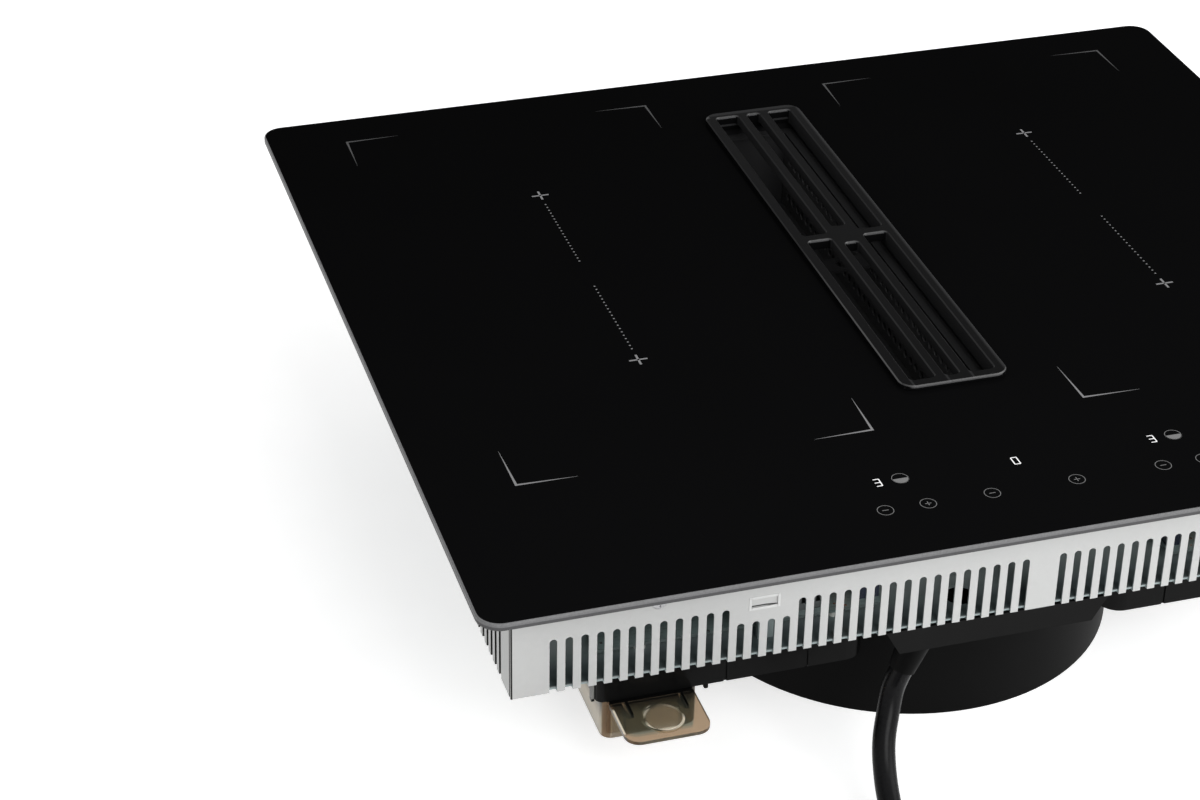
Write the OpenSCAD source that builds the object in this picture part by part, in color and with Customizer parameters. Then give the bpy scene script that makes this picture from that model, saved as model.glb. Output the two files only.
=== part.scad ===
// Downdraft induction cooktop: a glass hob with a central intake grille, a lift-out
// filter, a spill tray and a flat centrifugal blower under the case.
// Origin: middle of the footprint, on the surface that the blower stands on. +Z is up,
// the user stands at -Y.

/* [Glass] */
// Width of the glass plate
glass_w = 580; // [570:1:620]
// Depth of the glass plate
glass_d = 520; // [514:1:560]
// Thickness of the glass plate
glass_t = 4; // [3.5:0.5:6]
// Corner radius of the glass plate
glass_corner_r = 12; // [8:1:18]
// Height of the ground edge round the glass
glass_bevel = 0.8; // [0.6:0.1:1.6]

/* [Case] */
// Overhang of the glass past each side of the case
side_overhang = 19; // [16:0.5:22]
// Overhang of the glass past the front and the back of the case
front_overhang = 20; // [16:0.5:22]
// Height of the case under the glass
case_h = 56; // [54:1:70]
// Thickness of the sheet metal
sheet_t = 1; // [0.8:0.1:1.2]
// Depth of the folded flange under each vented wall
flange_d = 12; // [9:0.5:16]

/* [Vent slots] */
// Distance from one slot to the next
slot_pitch = 7.75; // [7:0.05:8]
// Width of a slot
slot_w = 3.76; // [3:0.02:4.4]
// Plain sheet at each end of the front and back walls
slot_margin = 16; // [14:0.5:20]
// Slots in each side wall
side_slots = 24; // [10:1:36]
// Height of a full slot above the case floor
slot_h = 31; // [24:0.5:36]
// Height of a short slot, under a clip window
short_slot_h = 21.6; // [16:0.2:24]
// Length of a slot on the folded flange
slot_wrap = 3.6; // [3:0.1:6]

/* [Intake] */
// Width of the intake grille
grille_w = 60; // [58:1:66]
// Glass in front of the intake grille
grille_front = 137; // [130:1:142]
// Glass behind the intake grille
grille_back = 57; // [52:1:62]
// Height of the grille rim above the glass
grille_rise = 3; // [2.5:0.5:4]
// Width of the grille frame
grille_frame = 6.3; // [6:0.1:7]
// Width of a wide air slot
wide_slot = 14.2; // [13:0.1:15]
// Width of the narrow middle air slot
narrow_slot = 8.2; // [7:0.1:10]
// Depth of the filter cassette
filter_h = 50; // [40:1:54]
// Lift of the filter cassette on its way out
filter_lift = 90; // [70:5:120]
// Wall of the intake funnel
funnel_t = 2; // [1.5:0.1:2.5]

/* [Cooking zones] */
// Glass beside each cooking zone
zone_side = 45.4; // [42:0.2:50]
// Half the glass between the two cooking zones
zone_inner = 57.4; // [56:0.2:60]
// Clear rim of a zone round its coils
zone_rim = 7.6; // [6:0.2:12]
// Glass in front of the front windings
zone_front = 119; // [114:1:124]
// Glass behind the back windings
zone_back = 40; // [36:1:44]
// Gap between the two windings of a zone
winding_gap = 17; // [12:1:24]

/* [Plenum] */
// Height of the plenum box
plenum_h = 55; // [48:1:60]
// Set-back of the plenum from each side of the case
side_set_back = 59; // [54:0.5:62]
// Set-back of the plenum behind the front of the case
front_set_back = 53.5; // [44:0.5:56]
// Set-back of the plenum ahead of the back of the case
back_set_back = 25; // [20:0.5:28]
// Wall of the plenum and the blower
plastic_t = 2.5; // [2:0.1:3]
// Half the width of the cable bay in the front of the plenum
bay_half_w = 67; // [62:1:72]
// Depth of the cable bay
bay_d = 36.5; // [32:0.5:40]

/* [Spill tray] */
// Outer width of the tray
tray_w = 50.5; // [46:0.5:54]
// Length of the tray
tray_l = 150; // [120:1:170]
// Depth of the tray under its rim
tray_h = 22.7; // [16:0.1:26]
// Wall of the tray
tray_t = 1.8; // [1.5:0.1:2.4]
// Width of the pull tab
tab_w = 44.7; // [36:0.1:46]
// Reach of the pull tab in front of the tray
tab_reach = 34; // [26:1:38]
// Diameter of the finger mark in the tab
finger_d = 20.4; // [16:0.2:24]

/* [Blower] */
// Radius of the blower drum
drum_r = 121; // [118:0.5:124]
// Set-back of the drum behind the front of the plenum
drum_set_back = 8.5; // [6:0.5:12]
// Height of the blower housing
blower_h = 55; // [53:1:60]
// Width of the flat duct outlet
duct_w = 218; // [200:1:222]
// Length of the duct spigot
spigot_l = 22; // [16:1:26]
// Outer radius of the impeller
impeller_r = 76; // [70:1:80]
// Blades of the impeller
impeller_blades = 36; // [24:1:40]
// Running gap of a shaft in its bore
shaft_gap = 0.05; // [0.03:0.01:0.08]

/* [Mains cable] */
// Diameter of the mains cable
cable_d = 12; // [10:0.5:12]
// Turns of cable in the coil
coil_turns = 3.5; // [2.5:1:3.5]
// Distance between neighbouring turns
coil_pitch = 13; // [12.8:0.1:14]
// Smallest radius of the coil
coil_inner_r = 50; // [49:0.5:56]

/* [Hidden] */
$fn = 48;

// Clearances
seat_gap = 0.3;
slide_gap = 0.3;
cut = 1;

// Levels, from the surface that the part stands on
plenum_z = blower_h;
case_z = plenum_z + plenum_h;
floor_z = case_z + sheet_t;
glass_z = case_z + case_h;
top_z = glass_z + glass_t;

// Case
case_w = glass_w - 2 * side_overhang;
case_d = glass_d - 2 * front_overhang;
case_front = -case_d / 2;
inner_w = case_w - 2 * sheet_t;
half_land = 6;
slots_per_half = floor((case_w / 2 - half_land - slot_margin) / slot_pitch);
first_slot_x = half_land + slot_pitch * (slots_per_half - 0.5);
side_slot_start = 19;
corner_seam = 1.5;
flange_inset = sheet_t + seat_gap;
window_w = 15.2;
window_h = 6;
window_z = case_z + 31.4;
window_slots = 4;
window_first = 12;
window_x = -(first_slot_x - slot_pitch * (window_first + (window_slots - 1) / 2));
tab_inset = 0.7;
screw_r = 3.7;
screw_head_h = 1.4;
screw_hole_r = 1.7;
screw_shank_r = 1.5;
screw_rim = 0.5;
screw_chamfer = 0.9;
recess_l = 4;
recess_w = 0.9;
recess_d = 0.8;
case_screw_l = 6;
plenum_screw_l = 12;
front_screw_x = first_slot_x - slot_pitch * 6.65;
front_screw_z = case_z + 42.5;
bracket_hole_r = 2.1;
bracket_span = 320;
bracket_z = case_z + 44;

// Seal under the edge of the glass
seal_w = 8;
seal_t = 2;
seal_inset = 3;

// Intake
grille_l = glass_d - grille_front - grille_back;
grille_y = (grille_front - grille_back) / 2;
opening_w = grille_w - 5;
opening_l = grille_l - 5;
opening_r = 5.5;
grille_r = 8;
rib_w = (grille_w - 2 * grille_frame - 2 * wide_slot - narrow_slot) / 2;
skirt_gap = 0.8;
skirt_t = 2;
skirt_drop = 2;
rib_h = 6;
slot_r = 2.5;
edge_cut = 0.6;
bar_half = 3.3;
bar_half_wide = 10;
funnel_w = opening_w - 1 + 2 * funnel_t;
funnel_l = opening_l - 1 + 2 * funnel_t;
funnel_flange = 8;
funnel_flange_t = 1.5;
funnel_seal_t = 0.5;
funnel_z = case_z - 6;
ledge_w = 2;
ledge_t = 2;
ledge_z = glass_z - 9;
funnel_in_w = funnel_w - 2 * funnel_t;
funnel_in_l = funnel_l - 2 * funnel_t;
cassette_w = funnel_in_w - 2 * ledge_w - 2;
cassette_l = funnel_in_l - 2 * ledge_w - 2;
cassette_rim_w = funnel_in_w - 1;
cassette_rim_l = funnel_in_l - 1;
cassette_rim_z = ledge_z + seat_gap;
cassette_rim_t = 1.5;
cassette_t = 1.5;
mesh_t = 1.2;
mesh_gap = 3;
mesh_hole_r = 2.4;
mesh_pitch = 8;
mesh_h = 40;
handle_w = 14;

// Plenum
plenum_r = 10;
plenum_corner_r = 4;
bay_r = 12;
plenum_w = case_w - 2 * side_set_back;
plenum_front = case_d / 2 - front_set_back;
plenum_back = case_d / 2 - back_set_back;
bay_back = plenum_front - bay_d;
plenum_mid_y = (plenum_back - bay_back) / 2;
seam_w = 1.6;
seam_d = 0.8;
seam_x = [-144, -100.2];
boss_r = 4;
boss_inset = 8;
drain_r = 6;

// Spill tray
tray_x = -(plenum_w / 2 - 3 - tray_w / 2);
tray_front = -plenum_front - 1;
tray_lip_w = 2.6;
tray_lip_t = 1.5;
tray_top = plenum_z - slide_gap;
tray_r = 6;
tab_t = 2;
tab_r = 8;
finger_ring = 0.8;
rail_t = 1.5;
rail_leg = 2.5;
hook_w = 2;
hook_z = tray_top - tray_lip_t - slide_gap - rail_t;
guide_w = 1.6;
guide_out = 3;
tray_travel = 110;

// Blower
drum_y = drum_r + drum_set_back - plenum_front;
duct_h = blower_h;
duct_start = plenum_back;
duct_end = glass_d / 2 - 8;
spigot_inset = 3;
volute_gap = 10;
volute_t = 1.8;
volute_tongue = 60;
volute_sweep = 260;
inlet_r = 62;
ring_lip = 8;
impeller_z = 8;
impeller_clear = 9;
impeller_h = blower_h - impeller_z - impeller_clear;
blade_t = 1.2;
blade_l = 15;
plate_t = 1.5;
motor_r = 30;
motor_h = 22;
hub_gap = 1.2;
hub_t = 2;
shaft_r = 4;
ear_r = 6;
ear_h = 8;
ear_out = 4.2;
ear_back = [47, 147];

// Case inside
board_z = case_z + sheet_t + 6;
board_t = 1.6;
zone_w = glass_w / 2 - zone_side - zone_inner;
zone_d = glass_d - zone_front - zone_back;
coil_x = zone_inner + zone_w / 2;
coil_mid_y = (zone_front - zone_back) / 2;
coil_span = (zone_d + winding_gap) / 2;
coil_r = min((zone_d - winding_gap) / 4, zone_w / 2 - zone_rim);
coil_hole_r = 20;
carrier_side = 3.6;
carrier_end = 3;
carrier_r = 8;
carrier_w = zone_w - 2 * carrier_side;
carrier_l = zone_d + 2 * carrier_end;
post_r = 5;
post_inset = [9, 6.5];
post_x = carrier_w / 2 - post_inset[0];
post_y = carrier_l / 2 - post_inset[1];
ferrite_in = 6;
ferrite_out = 8;
ferrite_w = 12;
board_gap = 2;
board_inset = 15;
board_d = 250;
board_w = 2 * (post_x - post_r - board_gap);
board_x = coil_x;
board_y = case_front + board_inset + board_d / 2;
board_inner_x = board_x - board_w / 2;
capacitor_w = 11;
capacitor_l = 26;
capacitor_h = 20;
capacitor_pitch = 31;
capacitor_x = board_inner_x + capacitor_w / 2 + 1;
choke_r = 12;
choke_w = 10;
choke_x = board_inner_x + 19;
sink_w = 24;
sink_l = 70;
sink_h = 22;
sink_base = 4;
fin_t = 1.6;
sink_fins = 7;
sink_x = board_inner_x + 39;
carrier_t = 1.5;
winding_h = 6;
mica_t = 1;
carrier_z = glass_z - mica_t - winding_h - carrier_t;
ferrite_h = 4;
fan_size = 54;
fan_r = 24;
fan_h = 12;
fan_x = case_w / 2 - fan_size / 2 - 2;
fan_back = 120;
fan_y = case_d / 2 - fan_back;
fan_pin_r = 2;
touch_w = 300;
touch_d = 46;
touch_t = 1.6;
touch_y = case_front + 32;
touch_z = glass_z - 5;
display_x = 75.5;
display_w = 18;
display_d = 14;
key_x = [26, 78];
key_r = 4.5;
key_ahead = 10;

// Mains connection
cover_left = -73;
cover_right = 30;
cover_slope = 8;
cover_h = 14;
cover_y = case_front + 0.5;
cover_d = 34;
gland_y = case_front + 18;
gland_base = [-55, gland_y, case_z - cover_h];
gland_tip = [-63, gland_y, case_z - cover_h - 23];
gland_r = 9;
core_r = 1.6;
core_ring_r = 3.4;
core_l = 40;
ferrule_r = 1.1;
ferrule_l = 12;
tie_t = 1;
tie_w = 5;

// Route of the cable from the gland to the coil, on the surface the part stands on:
// how far a point lies ahead of the gland, and its height
coil_mid = [-168, gland_y - 116];
coil_layer = cable_d + 0.5;
coil_z = cable_d / 2 + tie_t + 0.4;
coil_half = coil_turns / 2;
coil_outer_r = coil_inner_r + coil_pitch * coil_half;
coil_start = [coil_mid[0] + coil_outer_r, coil_mid[1] + cable_d, coil_z];
route = [
  gland_tip, [-67, gland_y, 61.5], [-71, gland_y - 5, 50], [-76, gland_y - 14, 38],
  [-79, gland_y - 26, 26], [-81, gland_y - 41, 16], [-83, gland_y - 58, 9],
  [-87, gland_y - 75, 7.4], [-93, gland_y - 91, 7.4], coil_start
];

// A rectangle with round corners, centred
module rounded_rect(w, d, r) {
  square([w - 2 * r, d], center = true);
  square([w, d - 2 * r], center = true);
  for (x = [-1, 1], y = [-1, 1])
    translate([x * (w / 2 - r), y * (d / 2 - r)])
      circle(r = r);
}

// A flat plate with round corners
module rounded_plate(w, d, h, r) {
  linear_extrude(height = h)
    rounded_rect(w, d, r);
}

// A flat ring with round corners inside and out
module rounded_frame(w, d, h, r, band) {
  linear_extrude(height = h)
    difference() {
      rounded_rect(w, d, r);
      rounded_rect(w - 2 * band, d - 2 * band, max(r - band, 0.5));
    }
}

// A profile run round a rounded rectangle; its x is measured from the corner centres
module edge_run(w, d, r, profile) {
  for (a = [0, 180])
    rotate([0, 0, a]) {
      translate([w / 2 - r, d / 2 - r, 0])
        rotate([90, 0, 0])
          linear_extrude(height = d - 2 * r)
            polygon(profile);
      translate([-(w / 2 - r), d / 2 - r, 0])
        rotate([90, 0, 90])
          linear_extrude(height = w - 2 * r)
            polygon(profile);
    }
  for (q = [0 : 3])
    translate([(q % 3 == 0 ? 1 : -1) * (w / 2 - r), (q < 2 ? 1 : -1) * (d / 2 - r), 0])
      rotate([0, 0, 90 * q])
        rotate_extrude(angle = 90, $fn = 64)
          polygon(profile);
}

// Copies at the left and the right
module both_sides() {
  children();
  mirror([1, 0, 0])
    children();
}

// One vent slot, open at the bottom edge and wrapped onto the flange.
// It is cut at the front wall, whose outer face is y = 0.
module vent_slot(h) {
  translate([0, -cut, -cut]) {
    translate([-slot_w / 2, 0, 0])
      cube([slot_w, sheet_t + 2 * cut, h - slot_w / 2 + cut]);
    translate([0, 0, h - slot_w / 2 + cut])
      rotate([-90, 0, 0])
        cylinder(d = slot_w, h = sheet_t + 2 * cut);
  }
  translate([-slot_w / 2, -cut, -cut])
    cube([slot_w, slot_wrap - slot_w / 2 + cut, sheet_t + 2 * cut]);
  translate([0, slot_wrap - slot_w / 2, -cut])
    cylinder(d = slot_w, h = sheet_t + 2 * cut);
}

// A folded wall: the upright sheet and the flange under it
module folded_wall(length, h) {
  translate([-length / 2, 0, 0]) {
    cube([length, sheet_t, h]);
    translate([flange_inset, 0, 0])
      cube([length - 2 * flange_inset, flange_d, sheet_t]);
  }
}

function is_short(i) = i >= window_first && i < window_first + window_slots;

// The slots and clip windows of one half of the front or back wall
module half_slots() {
  for (i = [0 : slots_per_half - 1])
    translate([-first_slot_x + i * slot_pitch, 0, 0])
      vent_slot(is_short(i) ? short_slot_h : slot_h);
  translate([window_x - window_w / 2, -cut, window_z - window_h / 2 - case_z])
    cube([window_w, sheet_t + 2 * cut, window_h]);
  translate([-front_screw_x, -cut, front_screw_z - case_z])
    rotate([-90, 0, 0])
      cylinder(r = screw_hole_r, h = sheet_t + 2 * cut);
}

// The lanced tab that stands in a clip window, fixed along its top edge
module clip_tab() {
  translate([window_x - window_w / 2, tab_inset, window_z - window_h / 2 - case_z + 1])
    cube([window_w, sheet_t, window_h + 1]);
}

module vent_panel() {
  difference() {
    folded_wall(case_w, case_h);
    half_slots();
    mirror([1, 0, 0])
      half_slots();
  }
  both_sides()
    clip_tab();
}

module front_vent_panel() {
  color("gainsboro")
    translate([0, case_front, case_z])
      vent_panel();
}

module rear_vent_panel() {
  color("gainsboro")
    rotate([0, 0, 180])
      translate([0, case_front, case_z])
        vent_panel();
}

// A side wall stands between the front and back walls
module side_panel() {
  side_l = case_d - 2 * sheet_t - 2 * corner_seam;
  color("gainsboro")
    translate([-case_w / 2, 0, case_z])
      rotate([0, 0, -90])
        difference() {
          translate([-side_l / 2, 0, 0]) {
            cube([side_l, sheet_t, case_h]);
            translate([flange_d, 0, 0])
              cube([side_l - 2 * flange_d, flange_d, sheet_t]);
          }
          for (i = [0 : side_slots - 1])
            translate([case_d / 2 - side_slot_start - i * slot_pitch, 0, 0])
              vent_slot(slot_h);
          for (s = [-1, 1])
            translate([s * bracket_span / 2, -cut, bracket_z - case_z])
              rotate([-90, 0, 0])
                cylinder(r = bracket_hole_r, h = sheet_t + 2 * cut);
        }
}

module left_side_panel() {
  side_panel();
}

module right_side_panel() {
  mirror([1, 0, 0])
    side_panel();
}

module case_floor() {
  floor_w = inner_w - 0.4;
  floor_d = case_d - 2 * sheet_t - 0.4;
  color("silver")
    difference() {
      translate([-floor_w / 2, -floor_d / 2, case_z + sheet_t])
        cube([floor_w, floor_d, sheet_t]);
      translate([0, grille_y, case_z])
        rounded_plate(funnel_w + 1, funnel_l + 1, 3 * sheet_t, 4);
      for (p = boss_places())
        translate([p[0], p[1], case_z])
          cylinder(r = screw_hole_r, h = 3 * sheet_t);
      for (x = [-1, 1])
        translate([x * fan_x, fan_y, case_z])
          for (ring = [11, 18], a = [0 : 36 : 324])
            rotate([0, 0, a + ring])
              translate([ring, 0, 0])
                cylinder(r = 2.2, h = 3 * sheet_t, $fn = 16);
      translate([gland_base[0] + 20, gland_base[1], case_z])
        cylinder(r = 8, h = 3 * sheet_t);
    }
}

// A pan-head screw with a crossed recess, its head outwards, along -y, from the origin
module pan_screw(length) {
  difference() {
    rotate([90, 0, 0])
      rotate_extrude()
        polygon([
          [0, -length], [screw_shank_r, -length], [screw_shank_r, 0], [screw_r, 0],
          [screw_r, screw_rim], [screw_r - screw_chamfer, screw_head_h], [0, screw_head_h]
        ]);
    for (a = [0, 90])
      rotate([0, a, 0])
        translate([-recess_l / 2, -screw_head_h - cut, -recess_w / 2])
          cube([recess_l, recess_d + cut, recess_w]);
  }
}

module case_screws() {
  color("lightgray")
    for (a = [0, 180])
      rotate([0, 0, a])
        for (x = [-1, 1])
          translate([x * front_screw_x, case_front, front_screw_z])
            pan_screw(case_screw_l);
}

module glass_top() {
  r = glass_corner_r;
  b = glass_bevel;
  color([0.03, 0.03, 0.035])
    difference() {
      translate([0, 0, glass_z]) {
        edge_run(glass_w, glass_d, r, [[0, 0], [r - 0.4, 0], [r, 0.4], [r, glass_t - b],
          [r - b * 0.35, glass_t - b * 0.35], [r - b, glass_t], [0, glass_t]]);
        translate([-glass_w / 2 + r, -glass_d / 2 + r, 0])
          cube([glass_w - 2 * r, glass_d - 2 * r, glass_t]);
      }
      translate([0, grille_y, glass_z - cut])
        rounded_plate(opening_w, opening_l, glass_t + 2 * cut, opening_r);
    }
}

module worktop_seal() {
  color("dimgray")
    translate([0, 0, glass_z - seal_t])
      rounded_frame(glass_w - 2 * seal_inset, glass_d - 2 * seal_inset, seal_t,
        glass_corner_r - seal_inset, seal_w);
}

// One air slot of the grille, with round corners and a chamfer round its top edge
module air_slot(w, l) {
  translate([0, 0, -glass_t - skirt_drop - grille_rise - cut])
    rounded_plate(w, l, glass_t + skirt_drop + grille_rise + 2 * cut, slot_r);
  edge_run(w + 2 * edge_cut, l + 2 * edge_cut, slot_r + edge_cut, [
    [slot_r - edge_cut, -edge_cut], [slot_r, -edge_cut], [slot_r + edge_cut + 0.5, 0.5],
    [slot_r - edge_cut, 0.5]
  ]);
}

// Flat plate with a chamfered rim that stands on the glass, a skirt that drops into the
// opening, and six slots between its bars
module intake_grille() {
  w = grille_w;
  l = grille_l;
  r = grille_r;
  c = edge_cut;
  rise = grille_rise - seat_gap;
  slot_end = l / 2 - grille_frame;
  rib_x = narrow_slot / 2 + rib_w / 2;
  color([0.12, 0.12, 0.13])
    difference() {
      translate([0, grille_y, 0]) {
        translate([0, 0, top_z + seat_gap]) {
          edge_run(w, l, r, [[0, 0], [r, 0], [r, rise - c], [r - c, rise], [0, rise]]);
          translate([-w / 2 + r, -l / 2 + r, 0])
            cube([w - 2 * r, l - 2 * r, rise]);
        }
        translate([0, 0, glass_z - skirt_drop])
          rounded_plate(opening_w - 2 * skirt_gap, opening_l - 2 * skirt_gap,
            glass_t + skirt_drop + seat_gap, opening_r - skirt_gap);
      }
      translate([0, grille_y, glass_z - skirt_drop - cut])
        rounded_plate(w - 2 * grille_frame, l - 2 * grille_frame,
          glass_t + skirt_drop + grille_rise - rib_h + cut, slot_r);
      translate([0, grille_y, top_z + grille_rise])
        for (y = [-1, 1]) {
          for (x = [-1, 1])
            translate([x * (rib_x + rib_w / 2 + wide_slot / 2), y * (slot_end + bar_half) / 2, 0])
              air_slot(wide_slot, slot_end - bar_half);
          translate([0, y * (slot_end + bar_half_wide) / 2, 0])
            air_slot(narrow_slot, slot_end - bar_half_wide);
        }
    }
}

// Open cassette with a seating rim, end walls and a pan that holds the mesh
module filter_frame() {
  body_z = cassette_rim_z + cassette_rim_t - filter_h;
  color("darkgray")
    translate([0, grille_y, 0]) {
      translate([0, 0, cassette_rim_z])
        rounded_frame(cassette_rim_w, cassette_rim_l, cassette_rim_t, 4, 6);
      difference() {
        translate([0, 0, body_z])
          rounded_plate(cassette_w, cassette_l, filter_h - cassette_rim_t, 3);
        translate([0, 0, body_z + cassette_t])
          rounded_plate(cassette_w - 2 * cassette_t, cassette_l - 2 * cassette_t, filter_h,
            2);
        for (side = [-1, 1], bay = [-1, 1])
          translate([side * cassette_w / 2 - 4, bay * cassette_l / 4 - cassette_l / 4 + 8,
            body_z + 5])
            cube([8, cassette_l / 2 - 16, filter_h - 12]);
        for (bay = [-1, 1])
          translate([-cassette_w / 2 + 8, bay * cassette_l / 4 - cassette_l / 4 + 8,
            body_z - cut])
            cube([cassette_w - 16, cassette_l / 2 - 16, cassette_t + 2 * cut]);
      }
    }
}

// One perforated sheet, standing on its long edge
module perforated_sheet(l, h) {
  rows = floor((h - 4) / mesh_pitch);
  holes = floor((l - 6) / mesh_pitch);
  rotate([90, 0, 90])
    linear_extrude(height = mesh_t)
      difference() {
        square([l, h], center = true);
        for (i = [0 : holes - 1], j = [0 : rows - 1])
          translate([(i - (holes - 1) / 2) * mesh_pitch, (j - (rows - 1) / 2) * mesh_pitch])
            circle(r = mesh_hole_r, $fn = 16);
      }
}

module filter_mesh() {
  inside = cassette_w / 2 - cassette_t - seat_gap;
  sheet_l = cassette_l - 2 * cassette_t - 2;
  body_z = cassette_rim_z + cassette_rim_t - filter_h + cassette_t;
  color("lightgray")
    translate([0, grille_y, body_z + seat_gap + mesh_h / 2]) {
      translate([-inside, 0, 0])
        perforated_sheet(sheet_l, mesh_h);
      translate([inside - mesh_t, 0, 0])
        perforated_sheet(sheet_l, mesh_h);
    }
}

module filter_handle() {
  w = cassette_w - 2 * cassette_t - 2 * seat_gap;
  z = cassette_rim_z - 5;
  color("silver")
    translate([0, grille_y, z])
      difference() {
        translate([-w / 2, -handle_w / 2, 0])
          cube([w, handle_w, cassette_t]);
        translate([0, 0, -cut])
          cylinder(r = handle_w / 2 - 2.5, h = cassette_t + 2 * cut);
      }
}

// Sleeve from the glass to the plenum, with a ledge for the cassette
module intake_funnel() {
  color([0.1, 0.1, 0.1])
    translate([0, grille_y, 0]) {
      translate([0, 0, glass_z - funnel_seal_t - funnel_flange_t])
        rounded_frame(funnel_w + 2 * funnel_flange, funnel_l + 2 * funnel_flange,
          funnel_flange_t, 10, funnel_flange + funnel_t);
      translate([0, 0, funnel_z])
        rounded_frame(funnel_w, funnel_l, glass_z - funnel_seal_t - funnel_z, 6, funnel_t);
      translate([0, 0, ledge_z - ledge_t])
        rounded_frame(funnel_w - 1, funnel_l - 1, ledge_t, 5.5, ledge_w + funnel_t - 0.5);
    }
}

module funnel_seal() {
  color("black")
    translate([0, grille_y, glass_z - funnel_seal_t])
      rounded_frame(funnel_w + 2 * funnel_flange, funnel_l + 2 * funnel_flange,
        funnel_seal_t, 10, funnel_flange);
}

// Places for the coil pairs
module at_coils() {
  for (x = [-1, 1], y = [-1, 1])
    translate([x * coil_x, coil_mid_y + y * coil_span / 2, 0])
      children();
}

module coil_carriers() {
  color("silver")
    for (x = [-1, 1])
      translate([x * coil_x, coil_mid_y, carrier_z])
        difference() {
          rounded_plate(carrier_w, carrier_l, carrier_t, carrier_r);
          for (y = [-1, 1])
            translate([0, y * coil_span / 2, -cut])
              cylinder(r = coil_hole_r - 6, h = carrier_t + 2 * cut);
        }
}

module carrier_posts() {
  color("dimgray")
    for (x = [-1, 1], side = [-1, 1], y = [-1, 0, 1])
      translate([x * (coil_x + side * post_x), coil_mid_y + y * post_y,
        case_z + 2 * sheet_t])
        cylinder(r = post_r, h = carrier_z - case_z - 2 * sheet_t);
}

// A flat winding with its turns as shallow ridges
module winding() {
  turns = 10;
  step = (coil_r - coil_hole_r) / turns;
  rotate_extrude($fn = 96)
    polygon(concat(
      [[coil_hole_r, 0]],
      [for (i = [0 : turns - 1], k = [0, 1, 2])
        [coil_hole_r + step * (i + [0, 0.3, 0.7][k]), winding_h - (k == 0 ? 1 : 0)]],
      [[coil_r, winding_h - 1], [coil_r, 0]]
    ));
}

module induction_coils() {
  color("peru")
    at_coils()
      translate([0, 0, carrier_z + carrier_t])
        winding();
}

module ferrite_bars() {
  color("darkslategray")
    at_coils()
      for (a = [22.5 : 45 : 337.5])
        rotate([0, 0, a])
          translate([coil_hole_r + ferrite_in, -ferrite_w / 2, carrier_z - ferrite_h])
            cube([coil_r - coil_hole_r - ferrite_in - ferrite_out, ferrite_w, ferrite_h]);
}

module coil_insulation() {
  color("whitesmoke")
    at_coils()
      translate([0, 0, carrier_z + carrier_t + winding_h])
        difference() {
          cylinder(r = coil_r, h = mica_t);
          translate([0, 0, -cut])
            cylinder(r = 8, h = mica_t + 2 * cut);
        }
}

module coil_sensors() {
  sensor_z = carrier_z + carrier_t;
  color("orange")
    at_coils()
      translate([0, 0, sensor_z]) {
        cylinder(r = coil_hole_r - 2, h = 1.5);
        cylinder(r = 6, h = glass_z - sensor_z);
      }
}

module power_boards() {
  color("darkgreen")
    for (x = [-1, 1])
      translate([x * board_x - board_w / 2, board_y - board_d / 2, board_z])
        cube([board_w, board_d, board_t]);
}

module board_standoffs() {
  color("white")
    for (x = [-1, 1], px = [-1, 1], py = [-1, 1])
      translate([x * board_x + px * (board_w / 2 - 24), board_y + py * (board_d / 2 - 6),
        case_z + 2 * sheet_t])
        cylinder(r = 3, h = board_z - case_z - 2 * sheet_t);
}

// Extruded heat sinks: a base with a row of upright fins
module heat_sink(w, d, h, fins) {
  cube([w, d, sink_base]);
  for (i = [0 : fins - 1])
    translate([i * (w - fin_t) / (fins - 1), 0, 0])
      cube([fin_t, d, h]);
}

module heat_sinks() {
  color("lightsteelblue")
    both_sides()
      translate([-sink_x - sink_w / 2, board_y - board_d / 2 + 4, board_z + board_t])
        heat_sink(sink_w, sink_l, sink_h, sink_fins);
}

module filter_capacitors() {
  color("navy")
    both_sides()
      for (i = [0, 1])
        translate([-capacitor_x - capacitor_w / 2,
          board_y - board_d / 2 + 5 + i * capacitor_pitch, board_z + board_t])
          cube([capacitor_w, capacitor_l, capacitor_h]);
}

// Chokes: toroids that stand on edge
module choke_coils() {
  color("chocolate")
    both_sides()
      translate([-choke_x - choke_w / 2, board_y - board_d / 2 + choke_r + 6,
        board_z + board_t + choke_r])
        rotate([0, 90, 0])
          rotate_extrude()
            polygon([
              [5, 1], [6, 0], [choke_r - 1, 0], [choke_r, 1], [choke_r, choke_w - 1],
              [choke_r - 1, choke_w], [6, choke_w], [5, choke_w - 1]
            ]);
}

// Square fan frames with a spider and a pin for the rotor
module cooling_fan_frames() {
  color([0.1, 0.1, 0.1])
    for (x = [-1, 1])
      translate([x * fan_x, fan_y, case_z + 2 * sheet_t]) {
        difference() {
          rounded_plate(fan_size, fan_size, fan_h + 3, 4);
          translate([0, 0, -cut])
            cylinder(r = fan_r + 1.5, h = fan_h + 3 + 2 * cut);
        }
        cylinder(r = 11, h = 2);
        for (a = [0 : 90 : 270])
          rotate([0, 0, a + 45])
            translate([0, -1.5, 0])
              cube([fan_r + 3, 3, 2]);
        cylinder(r = fan_pin_r, h = fan_h - 2);
      }
}

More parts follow.
